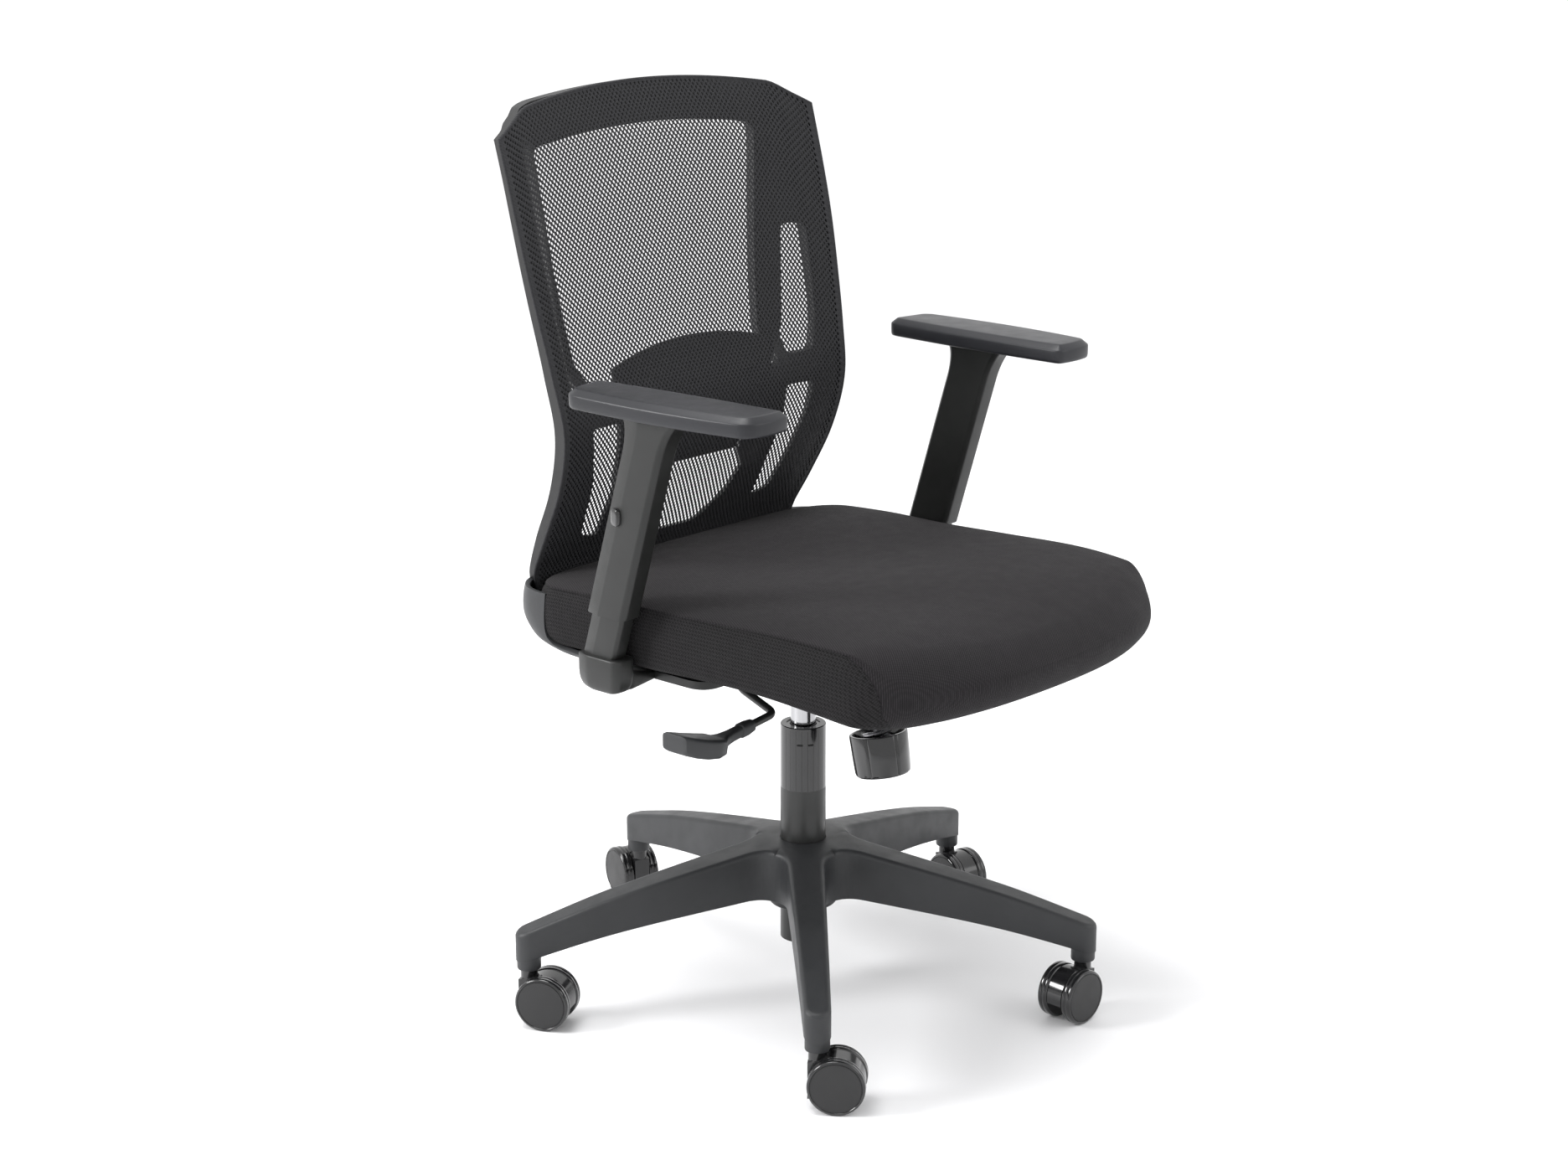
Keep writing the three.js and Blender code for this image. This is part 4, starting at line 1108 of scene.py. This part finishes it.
def leg_stations():
    xs = [lerp(COLLAR_R, CROTCH_X, i / 6) for i in range(6)]
    xs += [lerp(CROTCH_X, FILLET_X, (i / 10) ** 1.5) for i in range(10)]
    xs += [lerp(FILLET_X, STEM_CIRCLE, i / 30) for i in range(30)]
    xs += [STEM_CIRCLE + TIP_R * math.sin(i / 10 * math.pi / 2) for i in range(11)]
    return xs


def top_height(x, y):
    inside = clamp(edge_distance(x, y), 0, EDGE_ROUND)
    drop = EDGE_ROUND - math.sqrt(EDGE_ROUND ** 2 - (EDGE_ROUND - inside) ** 2)
    return leg_top(math.hypot(x, y)) - drop


def leg_section(x, depth):
    """One closed section across a leg. depth says how far the hollow underside rises, 0 to 1."""
    steps = 26
    section = []
    for i in range(steps + 1):
        across = math.sin((i / steps - 0.5) * math.pi)
        px, py = leg_plan(x, across)
        section.append((px, py, top_height(px, py)))
    half = max(abs(section[0][1]), 0.001)
    bottom = leg_bottom(math.hypot(section[0][0], section[0][1]))
    wall = min(LEG_SKIN / half, 0.9)
    roof = lerp(bottom, leg_top(x) - LEG_SKIN - 2, depth)
    for across, z in ((1, bottom + 1), (0.97, bottom), (1 - wall, bottom), (1 - wall - 0.02, roof),
                      (0, roof), (wall + 0.02 - 1, roof), (wall - 1, bottom), (-0.97, bottom),
                      (-1, bottom + 1)):
        px, py = leg_plan(x, across)
        section.append((px, py, z))
    return section


def leg_part():
    rib_starts = [lerp(51, 296, k / 5) for k in range(6)]
    stations = [(x, 0) for x in leg_stations()]
    for start, end in zip(rib_starts, rib_starts[1:]):
        stations += [(start, 0), (start + 0.4, 1), (end - LEG_SKIN - 0.4, 1), (end - LEG_SKIN, 0)]

    def deep(x):
        return any(a + 0.3 < x < b - LEG_SKIN - 0.3 for a, b in zip(rib_starts, rib_starts[1:]))

    rows = sorted((x, max(depth, 1 if deep(x) else 0)) for x, depth in stations)
    return loft([leg_section(x, depth) for x, depth in rows], closed=False)


def base_star():
    parts = []
    for k in range(LEGS):
        turn = Matrix.Rotation(FIRST_LEG + 2 * SHARE * k, 4, "Z")
        parts.append(moved(leg_part(), turn))
        socket = turned([(6, 64), (6, 63), (11.6, 63), (12.6, 63.5), (13, 64.6), (13, 104), (6, 104)], 40)
        parts.append(moved(socket, turn @ Matrix.Translation((STEM_CIRCLE, 0, 0))))
    hub = turned([(COLLAR_R, 98), (HUB_R - 1, 98), (HUB_R, 99), (HUB_R, 150), (COLLAR_R, 150)], 64)
    parts.append(hub)
    return together(*parts)


piece("base_star", "base", "nylon", base_star(), NYLON, replaces=("five_star_base",), sharp=38)

# ---------- casters

CASTER_HEADINGS = [math.radians(a) for a in (-54, 178, -102, 69.8, -64.6)]
WHEEL_R = 30
TRAIL = 20.5
HOOD_HALF = 9.3
GAP = 0.4


def caster_wheel():
    """A glossy rim round a matt, slightly domed disc."""
    profile = [(4.3, 9.8), (4.3, 0), (27.6, 0), (29.2, 0.5), (30, 1.6), (30, 5.6), (29.7, 6.0),
               (30, 6.4), (30, 9.8), (29.6, 11.2), (28.6, 12.2), (27.4, 12.5), (26.9, 12.1), (26.7, 11.5),
               (26.4, 11.5), (26.1, 12.0), (24, 12.2), (18, 12.5), (10, 12.7), (4, 12.8), (0.01, 12.8)]
    return turned(profile, 72)


def make_casters():
    for k, heading in enumerate(CASTER_HEADINGS):
        tag = f"caster_{k + 1}"
        leg = FIRST_LEG + 2 * SHARE * k
        place = Matrix.Translation((STEM_CIRCLE * math.cos(leg), STEM_CIRCLE * math.sin(leg), 0))
        place = place @ Matrix.Rotation(heading, 4, "Z")
        for side, turn in (("left", 0), ("right", math.pi)):
            wheel = place @ Matrix.Translation((TRAIL, 0, WHEEL_R)) @ Matrix.Rotation(turn, 4, "Z")
            wheel = wheel @ Matrix.Translation((0, HOOD_HALF + GAP, 0))
            wheel = wheel @ Matrix.Rotation(-math.pi / 2, 4, "X")
            hub = wheel @ Vector((0, 0, 0))
            axis = (wheel.to_3x3() @ Vector((0, 0, 1))).normalized()

            def rim_or_disc(middle, hub=hub, axis=axis):
                out = middle - hub
                return 0 if (out - axis * out.dot(axis)).length > 26.5 else 1

            piece(f"{tag}_tyre_{side}", f"{tag}_roller_{side}", "wheel", moved(caster_wheel(), wheel),
                  GLOSS, WHEEL_DISC, replaces=(f"{tag}_wheel_{side}",), sharp=40, paint=rim_or_disc)
        finish_node(f"{tag}_hood", GLOSS, 0.7)
        finish_node(f"{tag}_stem", STEEL, 0.4)
        finish_node(f"{tag}_axle", STEEL, 0.3)


make_casters()

# ---------- lift, mechanism, knob and lever

for node_name, finish_material in (
    ("column_tube", PAINTED), ("thrust_bearing", STEEL),
    ("piston_rod", STEEL), ("retaining_clip", STEEL), ("pressure_tube", CHROME),
    ("release_pin", STEEL), ("pivot_pin", STEEL),
    ("seat_plate", PAINTED), ("back_bolt_right", STEEL), ("back_bolt_left", STEEL),
    ("tension_bolt", STEEL), ("tension_spring", STEEL), ("lever_cam", STEEL), ("seat_pan", NYLON),
):
    finish_node(node_name, finish_material, 0.12)

housing_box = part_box("mechanism_housing")
HOUSING_HALF = (housing_box[1][0] - housing_box[0][0]) / 2 / MM
SHEET = 2.2                    # the steel's thickness


def housing_dish():
    """The pressed housing: round-bottomed about the tube, with a shallow nose over the knob.

    It is an open dish of sheet steel: up the outside, over the rim and down the inside.
    """
    outside = []
    for z, half, front, rear in ((333, 17, -18, 18), (333.6, 21, -24, 24), (336, 27, -32, 31),
                                 (341, 34, -44, 40), (347, 40, -58, 47), (352, 44, -76, 52),
                                 (357, 47, -104, 56), (363, 49, -134, 59), (370, HOUSING_HALF, -141, 62),
                                 (388, HOUSING_HALF, -142, 62)):
        outside.append((z, min(half, HOUSING_HALF), front, rear))
    inside = [(z + SHEET, half - SHEET, front + SHEET, rear - SHEET)
              for z, half, front, rear in outside[:-1]]
    rim_z, rim_half, rim_front, rim_rear = outside[-1]
    rim = (rim_z, rim_half - SHEET, rim_front + SHEET, rim_rear - SHEET)
    rings = []
    for z, half, front, rear in [*outside, rim, *reversed(inside)]:
        outline = rounded_polygon([(-half, front), (half, front), (half, rear), (-half, rear)],
                                  min(18, half - 1), 6)
        rings.append([(point.x, point.y, z) for point in outline])
    return loft(rings)


piece("housing_dish", "lift", "painted_steel", housing_dish(), PAINTED, replaces=("mechanism_housing",),
      sharp=45)

bush_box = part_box("guide_bush")
BUSH_LOW, BUSH_TOP = bush_box[0][2] / MM, bush_box[1][2] / MM
BUSH_R = (bush_box[1][0] - bush_box[0][0]) / 2 / MM


def bush_ring():
    """The guide bush: a ring in the column's mouth with a rounded lip and a stepped bore."""
    profile = [(14.5, BUSH_LOW), (BUSH_R - 0.6, BUSH_LOW), (BUSH_R, BUSH_LOW + 0.6), (BUSH_R, BUSH_TOP - 0.8),
               (BUSH_R - 0.8, BUSH_TOP), (18.5, BUSH_TOP), (17.9, BUSH_TOP - 1.2), (14.9, BUSH_TOP - 1.2),
               (14.5, BUSH_TOP - 1.6), (14.5, BUSH_LOW)]
    return turned(profile, 72)


piece("bush_ring", "base", "gloss_plastic", bush_ring(), GLOSS, replaces=("guide_bush",), sharp=40)

COLUMN_R = 25


def column_slot_shade_plates():
    """Two short slots under the column's rim, as thin near-black curved plates let into the tube: painted
    shade standing for the openings.
    """
    plates = []
    for middle in (212.7, 240.0):
        def skin(u, v, middle=middle):
            a = math.radians(middle + lerp(-7.5, 7.5, u))
            return (COLUMN_R + 0.06) * math.cos(a), (COLUMN_R + 0.06) * math.sin(a), lerp(285, 287.2, v)
        plates.append(grid(8, 1, skin))
    return together(*plates)


# Near-black matt finish for the slot plates: painted shade
SLOT_PAINTED_SHADE = moulded("slot_painted_shade", (0.002, 0.002, 0.002), (0.003, 0.003, 0.003), (0.7, 0.9), 900.0, 0.00002)
thickened(piece("column_slot_shade_plates", "base", "painted_steel", column_slot_shade_plates(), SLOT_PAINTED_SHADE), 0.5)

KNOB_TILT = math.radians(10)
KNOB_BASE = (0, -114, 272)
KNOB_R = 32
KNOB_HEIGHT = 46


def tension_knob():
    """A glossy cup with six flat panels parted by shallow grooves."""
    sides = 144
    profile = [(0.01, 0), (KNOB_R - 7, 0), (KNOB_R - 4, 0.7), (KNOB_R - 2.4, 2.4), (KNOB_R - 1.6, 5),
               (KNOB_R - 0.9, 20), (KNOB_R - 0.2, KNOB_HEIGHT - 1.2), (KNOB_R - 0.8, KNOB_HEIGHT),
               (KNOB_R - 3.6, KNOB_HEIGHT), (KNOB_R - 4.2, KNOB_HEIGHT - 1), (KNOB_R - 5, 6), (5.4, 6)]
    rings = []
    for radius, height in profile:
        outside = radius > KNOB_R - 3 and height > 3
        ring = []
        for i in range(sides):
            a = 2 * math.pi * i / sides
            panel = ((math.degrees(a) - 15) % 60) / 60
            groove = 1.5 * math.exp(-(min(panel, 1 - panel) / 0.035) ** 2) if outside else 0
            flat = 0.9 * math.sin(math.pi * panel) if outside else 0
            r = radius - groove - flat
            ring.append((r * math.cos(a), r * math.sin(a), height))
        rings.append(ring)
    place = Matrix.Translation(KNOB_BASE) @ Matrix.Rotation(-KNOB_TILT, 4, "X")
    return moved(loft(rings, closed=False), place)


piece("knob_cup", "knob", "gloss_plastic", tension_knob(), GLOSS, replaces=("tension_knob",), sharp=40)

LEVER_POINTS = [Vector(p) for p in ((8, -4, 367), (-108, -4, 372), (-108, -54, 353.5), (-188, -48.5, 341.5))]
LEVER_BEND = 9


def lever_path():
    path = [LEVER_POINTS[0]]
    for before, here, after in zip(LEVER_POINTS, LEVER_POINTS[1:], LEVER_POINTS[2:]):
        start = here + (before - here).normalized() * LEVER_BEND
        end = here + (after - here).normalized() * LEVER_BEND
        path += curve_through_corner(start, here, end, 8)
    return [*path, LEVER_POINTS[-1]]


piece("lever_wire", "lever", "painted_steel", tube(lever_path(), 4.3, 20), PAINTED,
      replaces=("lever_rod",), sharp=50)


def lever_paddle():
    """A clamp over the wire that spreads into a deep, square-edged paddle."""
    rings = []
    stations = [(-141, -51.6, 348.2, 3, 3, 1), (-141.4, -51.6, 348.2, 6.6, 6.4, 0.8),
                (-150, -51.2, 347, 7.6, 7.4, 0.7), (-158, -50.6, 345.8, 7.6, 7.4, 0.7),
                (-159, -50.6, 345.7, 6.4, 6.2, 0.7), (-172, -50, 343.8, 6.8, 6, 0.6),
                (-184, -50, 342.4, 9, 6, 0.5), (-192, -51, 341.6, 14, 6.6, 0.42),
                (-200, -52.6, 342.6, 19, 8.8, 0.34), (-212, -53, 343.8, 21.4, 10.4, 0.3),
                (-226, -52, 346.8, 21.6, 11, 0.3), (-238, -50, 350.2, 20.6, 11, 0.3),
                (-248, -47.6, 353.6, 18.4, 10.4, 0.32), (-251.4, -46.6, 354.8, 16.8, 9.4, 0.36),
                (-252, -46.4, 355, 14.5, 7.6, 0.42)]
    for x, y, z, wide, deep, square in stations:
        angles = (2 * math.pi * k / 36 for k in range(36))
        rings.append([(x, y + wide * rounder(math.cos(a), square), z + deep * rounder(math.sin(a), square))
                      for a in angles])
    return loft(rings)


piece("lever_grip", "lever", "nylon", lever_paddle(), NYLON, replaces=("lever_paddle",), sharp=35)
